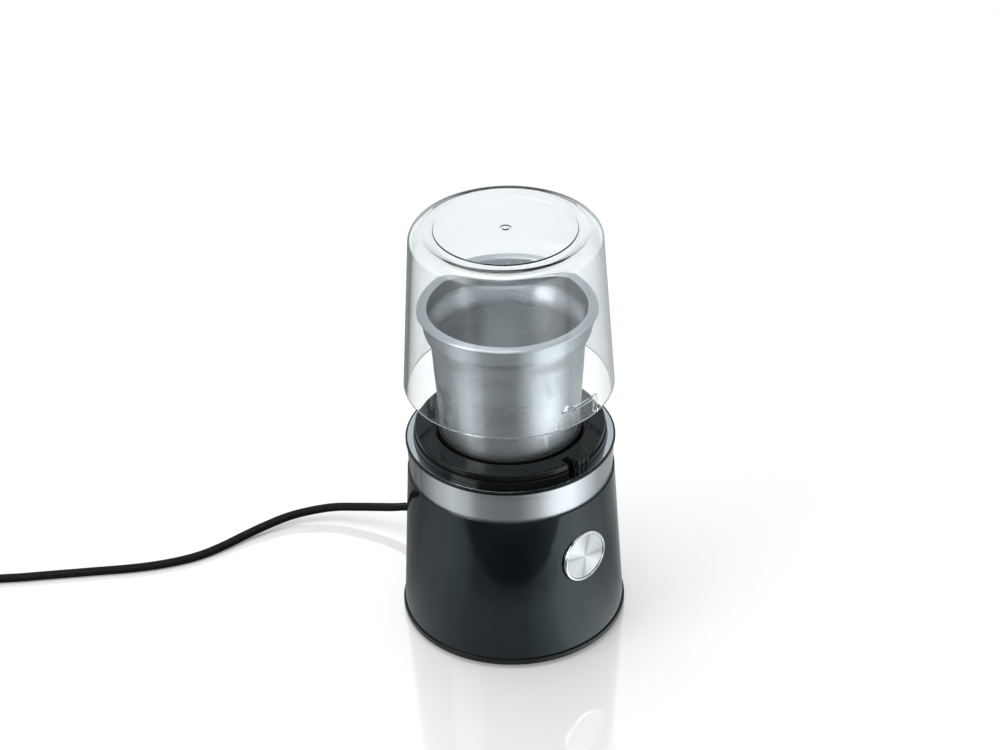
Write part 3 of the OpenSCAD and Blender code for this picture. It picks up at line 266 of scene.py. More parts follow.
def surfaced(tree, shader, group, dark, light, roughness, depth_mm, **values):
    """Feeds the shader from a group that varies colour, roughness and height over the surface."""
    inputs = {"Dark": (*dark, 1), "Light": (*light, 1), "Roughness": roughness,
              **{socket.replace("_", " "): value for socket, value in values.items()}}
    given_out = add(tree, "ShaderNodeGroup", inputs, node_tree=group).outputs
    feed(tree, shader.inputs, Base_Color=given_out["Colour"], Roughness=given_out["Roughness"],
         Normal=bumped(tree, given_out["Height"], depth_mm))


def moulded(name, dark, light, roughness, grain_mm=0.5, depth_mm=0.01, dust=0.2, **plain):
    """A moulded plastic or rubber between two colours."""
    finish, tree, shader, place = new_finish(name, **plain)
    surfaced(tree, shader, skin, dark, light, roughness, depth_mm, Place=place, Grain_size=grain_mm * MM,
             Dust=dust)
    return finish


def wear(piece, finish):
    """Gives a piece or a CAD node its finish."""
    piece.data.materials.clear()
    piece.data.materials.append(finish)


coil_way = [wound(a) for a in range(0, coil_sweep + 1, 9)]
lead_line = smooth_line(lead_way + coil_way + plug_way, 2.4)
flank, flank_points, valley_depth, valley_width = [], 28, 0.11, 0.75
for k in range(flank_points):
    a = 2 * math.pi * (k + 0.5) / flank_points
    x = math.copysign((lead_w - lead_t) / 2, math.cos(a)) + lead_t / 2 * math.cos(a)
    valley = 1 - valley_depth * math.exp(-(x / valley_width) ** 2)
    flank.append((x, lead_t / 2 * math.sin(a) * valley))
ahead = np.gradient(lead_line, axis=0)
ahead /= np.linalg.norm(ahead, axis=1)[:, None]
across = np.cross(ahead, (0, 0, 1))
across /= np.linalg.norm(across, axis=1)[:, None]
over = np.cross(across, ahead)
lead = skinned("mains_lead", [[here + side * x + up * y for x, y in flank]
                              for here, side, up in zip(lead_line, across, over)])
black_flex = moulded("black flex", (0.002, 0.0023, 0.0025), (0.0045, 0.005, 0.0052), 0.42, 1.1, 0.03, 0.06,
                     Specular_IOR_Level=0.1)
wear(lead, black_flex)

# The tie: a strip of soft plastic, 6 mm wide, wrapped round the wound lead
tie_inside, tie_outside, tie_low, tie_high = 22.4, 35.6, 1.6, 5.3
tie_strip = ((-3, 1.2), (-3, 1.45), (-2.7, 1.6), (2.7, 1.6), (3, 1.45), (3, 1.2))
tie_place = Matrix.Translation((*coil_centre, 0)) @ Matrix.Rotation(math.radians(262), 4, "Z")
tie_rings = []
for r, z, start in ((tie_outside, tie_low, -90), (tie_outside, tie_high, 0), (tie_inside, tie_high, 90),
                    (tie_inside, tie_low, 180)):
    for a in (math.radians(start + 15 * k) for k in range(7)):
        tie_rings.append([tie_place @ Vector((r + out * math.cos(a), y, z + out * math.sin(a)))
                          for y, out in tie_strip])
tie = skinned("lead_tie", tie_rings, closed=True)
wear(tie, moulded("tie strip", (0.02, 0.02, 0.021), (0.04, 0.04, 0.042), 0.5, 0.4, 0.02, 0.1))
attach(tie, "housing")

# ---------------------------------------------------------------- Mains plug
# A flat two-pin plug moulded onto the lead in one shot: a waisted grip with ribs for the fingers,
# a stepped boot at the lead's end, and two round plated pins set in its nose.
# Each station: distance along the plug, half its width, half its height, and how square it is
plug_sides = 48
plug_stations = [
    (0, 3.0, 2.2, 2.0), (1.2, 3.3, 2.5, 2.0), (4.0, 3.5, 2.7, 2.0), (4.4, 3.1, 2.3, 2.0),
    (5.4, 3.1, 2.3, 2.0), (5.8, 3.9, 3.1, 2.0), (8.2, 4.1, 3.3, 2.0), (8.6, 3.6, 2.8, 2.0),
    (9.6, 3.6, 2.8, 2.0), (10.0, 4.5, 3.7, 2.0), (12.6, 4.8, 4.0, 2.1), (13.0, 4.2, 3.4, 2.1),
    (13.8, 4.2, 3.4, 2.1), (14.4, 5.0, 4.6, 2.2), (16.0, 5.9, 5.0, 2.3), (19.0, 8.6, 5.5, 2.6),
    (22.5, 11.6, 5.9, 2.9), (26.0, 14.6, 6.4, 3.2), (29.0, 16.6, 6.7, 3.4), (32.0, 17.4, 6.8, 3.5),
    (44.0, 17.5, 6.8, 3.5), (48.4, 17.5, 6.8, 3.5), (49.4, 17.2, 6.5, 3.5), (49.9, 16.6, 5.9, 3.5),
    (50.0, 16.0, 5.4, 3.5),
]
plug_nose = plug_y - plug_stations[-1][0]


def plug_ring(along, half_w, half_h, power):
    """The plug's outline so far along it: an ellipse at power 2, and squarer above that."""
    ring = []
    for a in (2 * math.pi * k / plug_sides for k in range(plug_sides)):
        x = math.copysign(abs(math.cos(a)) ** (2 / power), math.cos(a)) * half_w
        z = math.copysign(abs(math.sin(a)) ** (2 / power), math.sin(a)) * half_h
        ring.append((plug_x + x, plug_y - along, plug_z + z))
    return ring


plug = skinned("mains_plug", [plug_ring(*station) for station in plug_stations])
wear(plug, moulded("black plug", (0.007, 0.007, 0.0075), (0.014, 0.014, 0.015), 0.4, 0.35, 0.03, 0.2))


def rounded(corners, steps=6):
    """An outline from corners (r, z) or (r, z, fillet), with a point held close to each fillet's ends."""
    outline, held, least = [], 0.12, 0.3
    for i, corner in enumerate(corners):
        here = Vector(corner[:2])
        if len(corner) == 2:
            outline.append(tuple(here))
            continue
        fillet = corner[2]
        back = Vector(corners[i - 1][:2]) - here
        on = Vector(corners[(i + 1) % len(corners)][:2]) - here
        half = back.angle(on) / 2
        reach = fillet / math.tan(half)
        centre = here + (back.normalized() + on.normalized()).normalized() * fillet / math.sin(half)
        start = here + back.normalized() * reach - centre
        sweep = start.angle_signed(here + on.normalized() * reach - centre)
        if back.length > reach + least:
            outline.append(tuple(here + back.normalized() * (reach + held)))
        for a in (-sweep * k / steps for k in range(steps + 1)):
            outline.append((centre.x + start.x * math.cos(a) - start.y * math.sin(a),
                            centre.y + start.x * math.sin(a) + start.y * math.cos(a)))
        if on.length > reach + least:
            outline.append(tuple(here + on.normalized() * (reach + held)))
    return outline


def turned(name, outline, steps=192, place=None, first=0.0, last=360.0):
    """A piece turned round the axis from its outline (r, z), or only from the first angle to the last."""
    whole = last - first >= 360
    angles = [math.radians(first + (last - first) * i / steps) for i in range(steps + (not whole))]
    place = place or Matrix()
    rings = [[place @ Vector((r * math.cos(a), r * math.sin(a), z)) for r, z in outline] for a in angles]
    return skinned(name, rings, whole, [k for k, (r, _) in enumerate(outline) if r < 1e-6])


def joined(name, parts):
    """One piece from several solids."""
    work = bmesh.new()
    for part in parts:
        work.from_mesh(part.data)
        bpy.data.objects.remove(part)
    mesh = bpy.data.meshes.new(name)
    work.to_mesh(mesh)
    work.free()
    piece = bpy.data.objects.new(name, mesh)
    scene.collection.objects.link(piece)
    return piece


pin_apart = 19
pin_outline = rounded([(0, -1), (2, -1), (2, 19, 0.9), (0, 19)])
plug_pins = joined("plug_pins_plated", [
    turned(f"pin_{side}", pin_outline, 40,
           Matrix.Translation((plug_x + side * pin_apart / 2, plug_nose, plug_z))
           @ Matrix.Rotation(math.pi / 2, 4, "X")) for side in (-1, 1)])

# Rubbed metal: fine scratches every way, clouds of dullness, and a slightly uneven colour
rubbed, given, puts = node_group(
    "Shader", "Rubbed metal",
    {"Place": ("Vector", None), **two_colours, "Roughness": ("Float", 0.3), "Grain size": ("Float", 0.001)},
    surface)
fine = noise(rubbed, given["Place"], reckoned(rubbed, "DIVIDE", 1.0, given["Grain size"]), 4.0)
cloud = noise(rubbed, given["Place"], 60.0, 3.0)
feed(rubbed, puts, Height=fine,
     Colour=blended(rubbed, ranged(rubbed, cloud, 0.3, 0.7), given["Dark"], given["Light"]),
     Roughness=plus(rubbed, given["Roughness"], ranged(rubbed, fine, 0.3, 0.7, -0.04, 0.04)))


def metal(name, dark, light, roughness, grain_mm=0.6, depth_mm=0.004, **plain):
    """A rolled, cast or plated metal between two colours."""
    finish, tree, shader, place = new_finish(name, Metallic=1.0, **plain)
    surfaced(tree, shader, rubbed, dark, light, roughness, depth_mm, Place=place, Grain_size=grain_mm * MM)
    return finish


nickel = metal("nickel plate", (0.58, 0.56, 0.52), (0.68, 0.66, 0.62), 0.2)
wear(plug_pins, nickel)
for piece, node in ((plug, "plug_body"), (plug_pins, "plug_pins")):
    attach(piece, "housing")
    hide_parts(node)
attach(lead, "housing")
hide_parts("mains_cord", "cord_coil", "plug_cord")

# ---------------------------------------------------------------- Boot of the lead
# A soft PVC boot that grips the flex where it leaves the shell: a flange outside, then a taper cut
# by rings, so that the lead can't be bent sharply there.
boot_r, boot_face, taper_r, taper, taper_length = 6, 55.7, 4.6, 1.4, 18.4
first_ring, ring_pitch = 57.3, 3.3
boot_outline = [(0, 53.0), (4.55, 53.0), (4.55, 54.1), (boot_r, 54.1, 0.3), (boot_r, boot_face, 0.5),
                (4.7, 55.75)]
for k in range(5):
    y = first_ring + ring_pitch * k
    r = taper_r - taper * (y - boot_face) / taper_length
    boot_outline += [(r - 0.02, y), (r - 0.75, y + 0.25), (r - 0.8, y + 1.15), (r - 0.12, y + 1.4)]
boot_outline += [(3.25, 73.7), (2.9, boot_tip), (0, boot_tip)]


def round_lead(name, outline, steps, y):
    """A piece of the boot, turned round the lead's first stretch, with its outline counted from y."""
    place = Matrix.Translation((0, y, lead_z)) @ Matrix.Rotation(-math.pi / 2, 4, "X")
    return turned(name, rounded(outline, 4), steps, place)


boot = round_lead("lead_boot", boot_outline, 64, 0)
boot_rubber = moulded("boot rubber", (0.006, 0.006, 0.0065), (0.012, 0.012, 0.013), 0.42, 0.5, 0.02, 0.2)
wear(boot, boot_rubber)
inner_outline = [(0, 0), (boot_r, 0, 0.3), (boot_r, 2, 0.3), (4.6, 2), (4.6, 5), (0, 5)]
inner_boot = round_lead("lead_boot_inside", inner_outline, 48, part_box("strain_relief")[0][1] / MM)
wear(inner_boot, boot_rubber)
for piece in (boot, inner_boot):
    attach(piece, "housing")
    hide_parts("strain_relief")

# ---------------------------------------------------------------- Feet
# Four rubber buttons, each pulled through a hole of the base plate by its barbed stem. The sole is
# hollowed a little, so that it grips the table with its edge.

# Pieces in a ring round the axis, each turned with its place
ring_tree, given, puts = node_group(
    "Geometry", "Pieces in a ring",
    {"Piece": ("Object", None), "Count": ("Int", 4), "Radius": ("Float", 0.04), "First angle": ("Float", 0.0),
     "Finish": ("Material", None)}, {"Geometry": "Geometry"})
points = add(ring_tree, "GeometryNodeMeshLine", {"Count": given["Count"], "Offset": (0.0, 0.0, 0.0)})
share = reckoned(ring_tree, "DIVIDE", 2 * math.pi, given["Count"])
angle = reckoned(ring_tree, "MULTIPLY_ADD", add(ring_tree, "GeometryNodeInputIndex").outputs[0], share,
                 given["First angle"])
spot = add(ring_tree, "ShaderNodeCombineXYZ", {
    axis: times(ring_tree, reckoned(ring_tree, part, angle), given["Radius"])
    for axis, part in (("X", "COSINE"), ("Y", "SINE"))})
placed = add(ring_tree, "GeometryNodeSetPosition", {
    "Geometry": points.outputs[0], "Position": spot.outputs[0]})
one = add(ring_tree, "GeometryNodeObjectInfo", {"Object": given["Piece"]})
facing = add(ring_tree, "ShaderNodeCombineXYZ", {"Z": angle})
copies = add(ring_tree, "GeometryNodeInstanceOnPoints", {
    "Points": placed.outputs[0], "Instance": one.outputs["Geometry"], "Rotation": facing.outputs[0]})
solid = add(ring_tree, "GeometryNodeRealizeInstances", {"Geometry": copies.outputs[0]})
dressed = add(ring_tree, "GeometryNodeSetMaterial", {
    "Geometry": solid.outputs[0], "Material": given["Finish"]})
feed(ring_tree, puts, Geometry=dressed.outputs[0])


def plain_mesh(piece):
    """Gives a piece the mesh that its modifiers make of it, and takes them off."""
    shape = bpy.data.meshes.new_from_object(piece.evaluated_get(bpy.context.evaluated_depsgraph_get()))
    piece.modifiers.clear()
    piece.data = shape


def ring_of(name, single, count, radius, first, finish):
    """Copies of a single piece round the axis, in place of it."""
    values = {"Piece": single, "Count": count, "Radius": radius * MM, "First angle": math.radians(first),
              "Finish": finish}
    piece = bpy.data.objects.new(name, bpy.data.meshes.new(name))
    scene.collection.objects.link(piece)
    modifier = piece.modifiers.new("ring", "NODES")
    modifier.node_group = ring_tree
    for socket in ring_tree.interface.items_tree:
        if socket.in_out == "INPUT":
            modifier[socket.identifier] = values[socket.name]
    plain_mesh(piece)
    bpy.data.objects.remove(single)
    return piece


foot_rubber = moulded("foot rubber", (0.012, 0.012, 0.013), (0.026, 0.026, 0.027), 0.7, 0.7, 0.03, 0.5)
foot_outline = rounded([
    (0, 0.5), (3.4, 0.5), (4.0, 0.02, 0.1), (5.1, 0.02, 0.5), (5.5, 2, 0.15), (2, 2), (2, 4.5), (2.9, 4.5),
    (1.8, 6.1), (0, 6.1)], 4)
feet = ring_of("feet_rubber", turned("foot", foot_outline, 40), 4, 44, 22.5, foot_rubber)
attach(feet, "housing")
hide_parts("rubber_feet")

# ---------------------------------------------------------------- Base plate and its screws
# The plate is a black moulding with cooling slots, held by four self-tapping screws from below;
# its rim stands a little proud of the shell.
satin_black = moulded("satin black moulding", (0.005, 0.0055, 0.006), (0.010, 0.0105, 0.011), 0.3, 0.35, 0.01,
                      0.15, Specular_IOR_Level=0.25)


def dress(finish, names):
    """Gives CAD nodes their finish."""
    for name in names.split():
        wear(nodes[name], finish)


def block(name, place, x, y, z):
    """A box, at its place, between two values of x, of y and of z."""
    corners = [(a, b, c) for c in z for a, b in ((x[0], y[0]), (x[1], y[0]), (x[1], y[1]), (x[0], y[1]))]
    return new_piece(name, [place @ Vector(c) for c in corners], [
        (0, 3, 2, 1), (4, 5, 6, 7), *((k, (k + 1) % 4, (k + 1) % 4 + 4, k + 4) for k in range(4))])


def cut(piece, tools, operation="DIFFERENCE"):
    """The piece with the tools taken out of it, or added to it."""
    for tool in tools:
        modifier = piece.modifiers.new("cut", "BOOLEAN")
        modifier.object = tool
        modifier.operation = operation
        modifier.solver = "EXACT"
    plain_mesh(piece)
    for tool in tools:
        bpy.data.objects.remove(tool)
    piece.data.shade_smooth()
    piece.data.set_sharp_from_angle(angle=crease)
    return piece


def screw(head_r, head_h, length, z):
    """A pan-head screw with a cross recess and a rolled thread, its head below z."""
    core_r, thread_r, thread_pitch = 1.1, 1.45, 1.1
    outline = [(0, -head_h), (head_r, -head_h, head_h * 0.45), (head_r, 0, 0.1), (thread_r, 0)]
    for k in range(int((length - 2) / thread_pitch)):
        h = 0.9 + thread_pitch * k
        outline += [(core_r, h), (core_r, h + 0.5), (thread_r, h + 0.8)]
    outline += [(core_r, length - 1.2), (0, length)]
    up = Matrix.Translation((0, 0, z))
    half_w, half_l, depth = 0.36, head_r * 0.6, min(0.9, head_h * 0.6)
    return cut(turned("screw", rounded(outline, 4), 32, up), [
        block("recess", up @ Matrix.Rotation(a, 4, "Z"), (-half_w, half_w), (-half_l, half_l),
              (-head_h - 0.4, -head_h + depth)) for a in (0, math.pi / 2)])


dress(satin_black, "base_plate")
zinc = metal("zinc plate", (0.46, 0.47, 0.48), (0.62, 0.63, 0.63), 0.3, 0.5, 0.006)
base_screws = ring_of("base_plate_screws", screw(2.8, 0.9, 12, 3), 4, 44.5, 67.5, zinc)
collar_screws = ring_of("collar_fixing_screws", screw(2.8, 2, 10, 78), 4, 41.3, 45, zinc)
for piece, node in ((base_screws, "base_screws"), (collar_screws, "collar_screws")):
    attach(piece, "housing")
    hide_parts(node)

# ---------------------------------------------------------------- Body shell
# One deep moulding in dark grey, glossy from a polished mould, slightly conical so that it comes out.
# Four screws hold it to the collar above, and the base plate closes it below.
anthracite = moulded("anthracite gloss moulding", (0.004, 0.0065, 0.0072), (0.0065, 0.0102, 0.0115), 0.09,
                     0.9, 0.0008, 0.01, IOR=1.42, Specular_Tint=(0.82, 1.0, 1.05, 1))
dress(anthracite, "body_shell")

# ---------------------------------------------------------------- Motor
# A universal motor stands under the well: stacked sheets with wound copper, a rotor with its
# commutator and fan, sintered bearings in two pressed brackets, carbon brushes on a board carrier.


def striped(name, dark, light, roughness, pitch_mm, depth_mm, metallic, wander=1.5):
    """Sheets or turns of wire stacked up the axis, one every pitch."""
    wave_at_scale_one = 0.31416
    finish, tree, shader, place = new_finish(name, Metallic=metallic)
    bands = add(tree, "ShaderNodeTexWave", {
        "Vector": place, "Scale": wave_at_scale_one / (pitch_mm * MM), "Distortion": wander, "Detail": 2.0,
        "Detail Scale": 0.4}, bands_direction="Z").outputs[1]
    cloudy = noise(tree, place, 150.0, 3.0)
    mixed = plus(tree, times(tree, bands, 0.55), times(tree, cloudy, 0.45))
    feed(tree, shader.inputs, Base_Color=blended(tree, mixed, (*dark, 1), (*light, 1)),
         Roughness=ranged(tree, cloudy, 0.3, 0.7, roughness - 0.06, roughness + 0.06),
         Normal=bumped(tree, bands, depth_mm))
    return finish


laminated = striped("stacked sheets", (0.10, 0.105, 0.11), (0.28, 0.29, 0.30), 0.42, 0.5, 0.05, 0.9, 0.4)
enamelled = striped("enamelled copper wire", (0.28, 0.075, 0.02), (0.72, 0.30, 0.12), 0.28, 0.45, 0.12, 0.8)
bar_copper = metal("bar copper", (0.62, 0.28, 0.15), (0.80, 0.42, 0.25), 0.25, 0.4, 0.004)
bronze = metal("sintered bronze", (0.33, 0.21, 0.09), (0.50, 0.34, 0.16), 0.45, 0.25, 0.01)
brass = metal("brass", (0.62, 0.45, 0.16), (0.76, 0.57, 0.24), 0.27)
ground_steel = metal("ground steel", (0.50, 0.50, 0.50), (0.66, 0.66, 0.66), 0.16, 0.3, 0.002)
pressed_steel = metal("pressed steel", (0.42, 0.43, 0.44), (0.56, 0.57, 0.58), 0.34, 0.8, 0.008)
soft_rubber = moulded("damper rubber", (0.014, 0.014, 0.015), (0.03, 0.03, 0.031), 0.75, 0.6, 0.03, 0.3)
board = moulded("phenolic board", (0.16, 0.055, 0.02), (0.27, 0.11, 0.045), 0.5, 0.4, 0.01, 0.1)
carbon = moulded("pressed carbon", (0.018, 0.018, 0.019), (0.045, 0.045, 0.047), 0.55, 0.2, 0.01, 0.1)
for finish, names in (
        (laminated, "armature_core stator_core"), (enamelled, "armature_winding field_coils"),
        (bar_copper, "commutator"), (bronze, "upper_bearing lower_bearing"), (brass, "brush_holders"),
        (ground_steel, "rotor_shaft"), (pressed_steel, "upper_bracket lower_bracket"),
        (zinc, "motor_bolts motor_screws"), (soft_rubber, "motor_dampers"), (board, "brush_carrier"),
        (carbon, "carbon_brushes"), (satin_black, "cooling_fan")):
    dress(finish, names)

# ---------------------------------------------------------------- Switches and wiring
# Two small switches, one behind the button and one under the interlock pin, a terminal block, a
# suppressor across the mains, and the clamp that holds the lead inside.
switch_case = moulded("switch case", (0.05, 0.006, 0.005), (0.085, 0.012, 0.01), 0.38, 0.4, 0.006, 0.1)
cream = moulded("cream nylon", (0.60, 0.54, 0.40), (0.72, 0.66, 0.52), 0.45, 0.5, 0.006, 0.1)
yellow = moulded("yellow film case", (0.62, 0.36, 0.02), (0.76, 0.48, 0.05), 0.35, 0.6, 0.006, 0.1)
for finish, names in (
        (switch_case, "start_switch interlock_switch"), (yellow, "suppressor"),
        (cream, "terminal_block start_plunger interlock_plunger"), (zinc, "clamp_screws"),
        (satin_black, "cord_clamp button_stem"), (black_flex, "cord_tail")):
    dress(finish, names)

# ---------------------------------------------------------------- Return springs
# Two coils of spring wire bring the button and the interlock pin back. Each stands on a fixed foot.
spring_steel = metal("spring wire", (0.44, 0.44, 0.45), (0.60, 0.60, 0.60), 0.25, 0.3, 0.003)
low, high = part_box("interlock_spring")
pin_travel = 1.9 * MM  # the pin's stroke, and a hair so that it doesn't cut the coil
for node, joint, way, foot, pressed in (
        ("button_spring", "button_press", (0, 0.998546, -0.053907), (0, -44.527, 54.523), 0.45),
        ("interlock_spring", "lock_press", (0, 0, -1), (0, 0, 87.2), 1 - pin_travel / (high[2] - low[2]))):
    coil = nodes[node].data
    spring = new_piece(node.replace("_", "_return_"), [tuple(v.co / MM) for v in coil.vertices],
                       [tuple(face.vertices) for face in coil.polygons])
    wear(spring, spring_steel)
    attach(spring, "housing")
    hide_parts(node)
    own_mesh(spring)

# ---------------------------------------------------------------- Push button
# A chromed cap slides in a sleeve of the shell. A thin disc of steel, faced on a lathe, is glued
# into its front, a little below the cap's rounded edge.
button_y, button_z, button_tilt = -51.517, 54.9, 3.09
button_place = (Matrix.Translation((0, button_y, button_z))
                @ Matrix.Rotation(math.radians(90 - button_tilt), 4, "X"))
cap_outline = rounded([(0, -2.5), (12, -2.5), (12, -5), (13, -5, 0.15), (13, 0.8, 1), (11.7, 0.8, 0.25),
                       (11.7, -0.5), (0, -0.5)], 7)
cap = turned("button_ring", cap_outline, 160, button_place)
chrome = metal("chrome plate", (0.60, 0.61, 0.62), (0.68, 0.69, 0.70), 0.07, 1.5, 0.0008)
wear(cap, chrome)
disc_outline = rounded([(0, -0.5), (11.6, -0.5), (11.6, 0.3, 0.12), (9, 0.292), (6, 0.285), (3, 0.281),
                        (0, 0.28)], 4)
disc = turned("button_disc", disc_outline, 160, button_place)


def vector(tree, operation, *values):
    """What an operation makes of vectors."""
    outputs = add(tree, "ShaderNodeVectorMath", dict(enumerate(values)), operation=operation).outputs
    return outputs["Value" if operation in ("LENGTH", "DOT_PRODUCT") else "Vector"]


def axes(tree, place):
    """The x, y and z of a place."""
    return add(tree, "ShaderNodeSeparateXYZ", {"Vector": place}).outputs


def ramp(tree, value, stops):
    """The colour at a value from 0 to 1, between stops given as (position, colour)."""
    node = add(tree, "ShaderNodeValToRGB", {"Fac": value})
    elements = node.color_ramp.elements
    for position, _ in stops[1:-1]:
        elements.new(position)
    for element, (position, shown) in zip(elements, stops):
        element.position = position
        element.color = (*shown, 1)
    return node.outputs[0]


# Turned grain: fine lines round an axis, with slow bands between them
grained, given, puts = node_group(
    "Shader", "Turned grain",
    {"Along": ("Float", 0.0), "Round": ("Vector", None), **two_colours, "Pitch": ("Float", 0.0002),
     "Roughness": ("Float", 0.3)}, surface)
around = axes(grained, given["Round"])
streak = add(grained, "ShaderNodeCombineXYZ", {
    "X": times(grained, around[0], 45.0), "Y": times(grained, around[1], 45.0),
    "Z": reckoned(grained, "DIVIDE", given["Along"], given["Pitch"])}).outputs[0]
lines = noise(grained, streak, 1.0, 3.0, Roughness=0.65)
slow = noise(grained, vector(grained, "MULTIPLY", streak, (0.3, 0.3, 0.06)), 1.0, 2.0)
tone = plus(grained, times(grained, lines, 0.7), times(grained, slow, 0.12))
feed(grained, puts, Height=lines,
     Colour=blended(grained, ranged(grained, tone, 0.25, 0.57), given["Dark"], given["Light"]),
     Roughness=plus(grained, given["Roughness"], ranged(grained, slow, 0.3, 0.7, -0.015, 0.015)))


def brushed(name, dark, light, roughness, pitch_mm, depth_mm, along, **plain):
    """A metal with its grain round an axis; along says, from a place, how far across the grain it lies."""
    finish, tree, shader, place = new_finish(name, Metallic=1.0, **plain)
    distance, round_place = along(tree, place)
    surfaced(tree, shader, grained, dark, light, roughness, depth_mm, Along=distance, Round=round_place,
             Pitch=pitch_mm * MM)
    return finish


def from_button_axis(tree, place):
    """Distance from the button's own axis, which points out of the shell and slightly up."""
    local = add(tree, "ShaderNodeMapping", {"Vector": place, "Location": (0, -button_y * MM, -button_z * MM)})
    level_out = add(tree, "ShaderNodeMapping", {
        "Vector": local.outputs[0], "Rotation": (-math.radians(90 - button_tilt), 0, 0)})
    flat = vector(tree, "MULTIPLY", level_out.outputs[0], (1, 1, 0))
    return vector(tree, "LENGTH", flat), flat


# The disc's colour carries a painted sheen: painted highlights and painted shade in bright and dark sectors
# round its axis, as a face turned on a lathe shows them under lamps.
faced = brushed("faced steel", (0.47, 0.48, 0.48), (0.62, 0.62, 0.62), 0.2, 0.09, 0.006, from_button_axis,
                Anisotropic=0.75, Anisotropic_Rotation=0.25)
tree = faced.node_tree
shader = tree.nodes["Principled BSDF"]
place = tree.nodes["Texture Coordinate"].outputs["Object"]
rays = vector(tree, "NORMALIZE", from_button_axis(tree, place)[1])
ray_x, ray_y, _ = axes(tree, rays)
half_turns = reckoned(tree, "FRACT", plus(
    tree, reckoned(tree, "DIVIDE", reckoned(tree, "ARCTAN2", ray_y, ray_x), math.pi),
    ranged(tree, noise(tree, rays, 2.2, 3.0, Roughness=0.6), 0.3, 0.7, 0.96, 1.04)))
# Painted sheen: how bright each sector round the disc's axis is painted.
painted_sheen_fans = ramp(tree, half_turns, [(position, (grey, grey, grey)) for position, grey in (
    (0, 0.42), (0.08, 0.5), (0.25, 0.62), (0.36, 0.5), (0.415, 0.08), (0.47, 0.42), (0.58, 0.8), (0.72, 1.0),
    (0.8, 1.0), (0.88, 0.6), (0.944, 0.1), (1, 0.42))])
plain_steel = shader.inputs["Base Color"].links[0].from_socket
# The steel darkened, for the sectors painted in shade.
painted_shade_steel = blended(tree, 1.0, plain_steel, (0.42, 0.44, 0.45, 1), "MULTIPLY")
feed(tree, shader.inputs, Tangent=add(tree, "ShaderNodeTangent", axis="Y").outputs[0],
     Base_Color=blended(tree, painted_sheen_fans, painted_shade_steel, plain_steel))
wear(disc, faced)
for piece, node in ((cap, "button_cap"), (disc, "button_face")):
    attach(piece, "button")
    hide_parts(node)

# ---------------------------------------------------------------- Steel band
# A strip of brushed steel, 0.8 mm thick, rolled into a ring that opens slightly upwards. Its two
# ends meet in a fine upright seam at the back left.


def from_axis(tree, place):
    """Height plus distance from the upright axis, so that the grain runs round walls and floors alike."""
    flat = vector(tree, "MULTIPLY", place, (1, 1, 0))
    return plus(tree, axes(tree, place)[2], vector(tree, "LENGTH", flat)), flat


band_top, seam, seam_gap = 99.4, 169.3, 0.4
band_outline = rounded([(48.1, 81.4), (48.9, 81.4, 0.12), (49.95, band_top, 0.12), (49.15, band_top)], 3)
band = turned("steel_band_ring", band_outline, 300, None, seam, seam + 360 - seam_gap)
band_steel = brushed("brushed band steel", (0.48, 0.50, 0.512), (0.58, 0.598, 0.608), 0.24, 0.16, 0.0008,
                     from_axis, Anisotropic=0.95, Anisotropic_Rotation=0.25)
wear(band, band_steel)
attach(band, "housing")
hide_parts("steel_band")

# ---------------------------------------------------------------- Trim ring and ledge ring
# A black moulded ring closes the band's upper edge, and a polished steel washer lies inside it:
# the lid stands on that one.
ledge_top = 100.9
trim = turned("black_trim_ring", rounded([
    (49.5, band_top), (50.4, band_top, 0.3), (50.4, ledge_top, 0.3), (49.5, ledge_top)], 5), 256)
gloss_black = moulded("black gloss moulding", (0.004, 0.0052, 0.0058), (0.007, 0.0085, 0.0092), 0.12, 0.9,
                      0.001, 0.03, Specular_IOR_Level=0.22)
wear(trim, gloss_black)
ledge = turned("ledge_washer", rounded([
    (46.5, 100.1), (49.48, 100.1), (49.48, ledge_top, 0.1), (46.5, ledge_top, 0.1)], 3), 256)
polished = brushed("polished ledge steel", (0.54, 0.575, 0.59), (0.60, 0.635, 0.65), 0.08, 0.12, 0.0004,
                   from_axis)
wear(ledge, polished)
for piece, node in ((trim, "trim_ring"), (ledge, "ledge_ring")):
    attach(piece, "housing")
    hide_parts(node)

# ---------------------------------------------------------------- Collar and interlock pin
# The collar, deck and well are one gloss black moulding. The pin stands in the collar's notch,
# where the lid's tab pushes it down.
dress(gloss_black, "top_collar")
dress(satin_black, "interlock_pin")

# ---------------------------------------------------------------- Couplings
# Both halves of the drive are glass-filled nylon: the lower one is pressed on the motor's shaft, the
# upper one on the blade's.
nylon = moulded("glass-filled nylon", (0.016, 0.016, 0.017), (0.04, 0.04, 0.042), 0.5, 0.3, 0.012, 0.2)
dress(nylon, "drive_coupling driven_coupling")

# ---------------------------------------------------------------- Bowl
# A cup deep-drawn from 1 mm stainless steel: rounded bottom, slightly conical body, an S-shaped
# shoulder, a straight neck and a rolled flange. It was brushed while it turned on a lathe.
steel = 1
hole_r, floor_z = 5.52, 95.9
bottom_r, bottom_z, bottom_round = 17.5, 111.9, 16
body_r, shoulder_r, neck_r = 33.5, 36.13, 39.73
shoulder_z, shoulder_h = 152.4, 13
mouth_r, flange_r, flange_z, roll = 37.53, 42.43, 173.05, 0.85


def arc(r, z, radius, first, last, step):
    """Points of an outline round a centre, from one angle to another, counted from the outside upwards."""
    return [(r + radius * math.cos(math.radians(a)), z + radius * math.sin(math.radians(a)))
            for a in range(first, last + 1, step)]


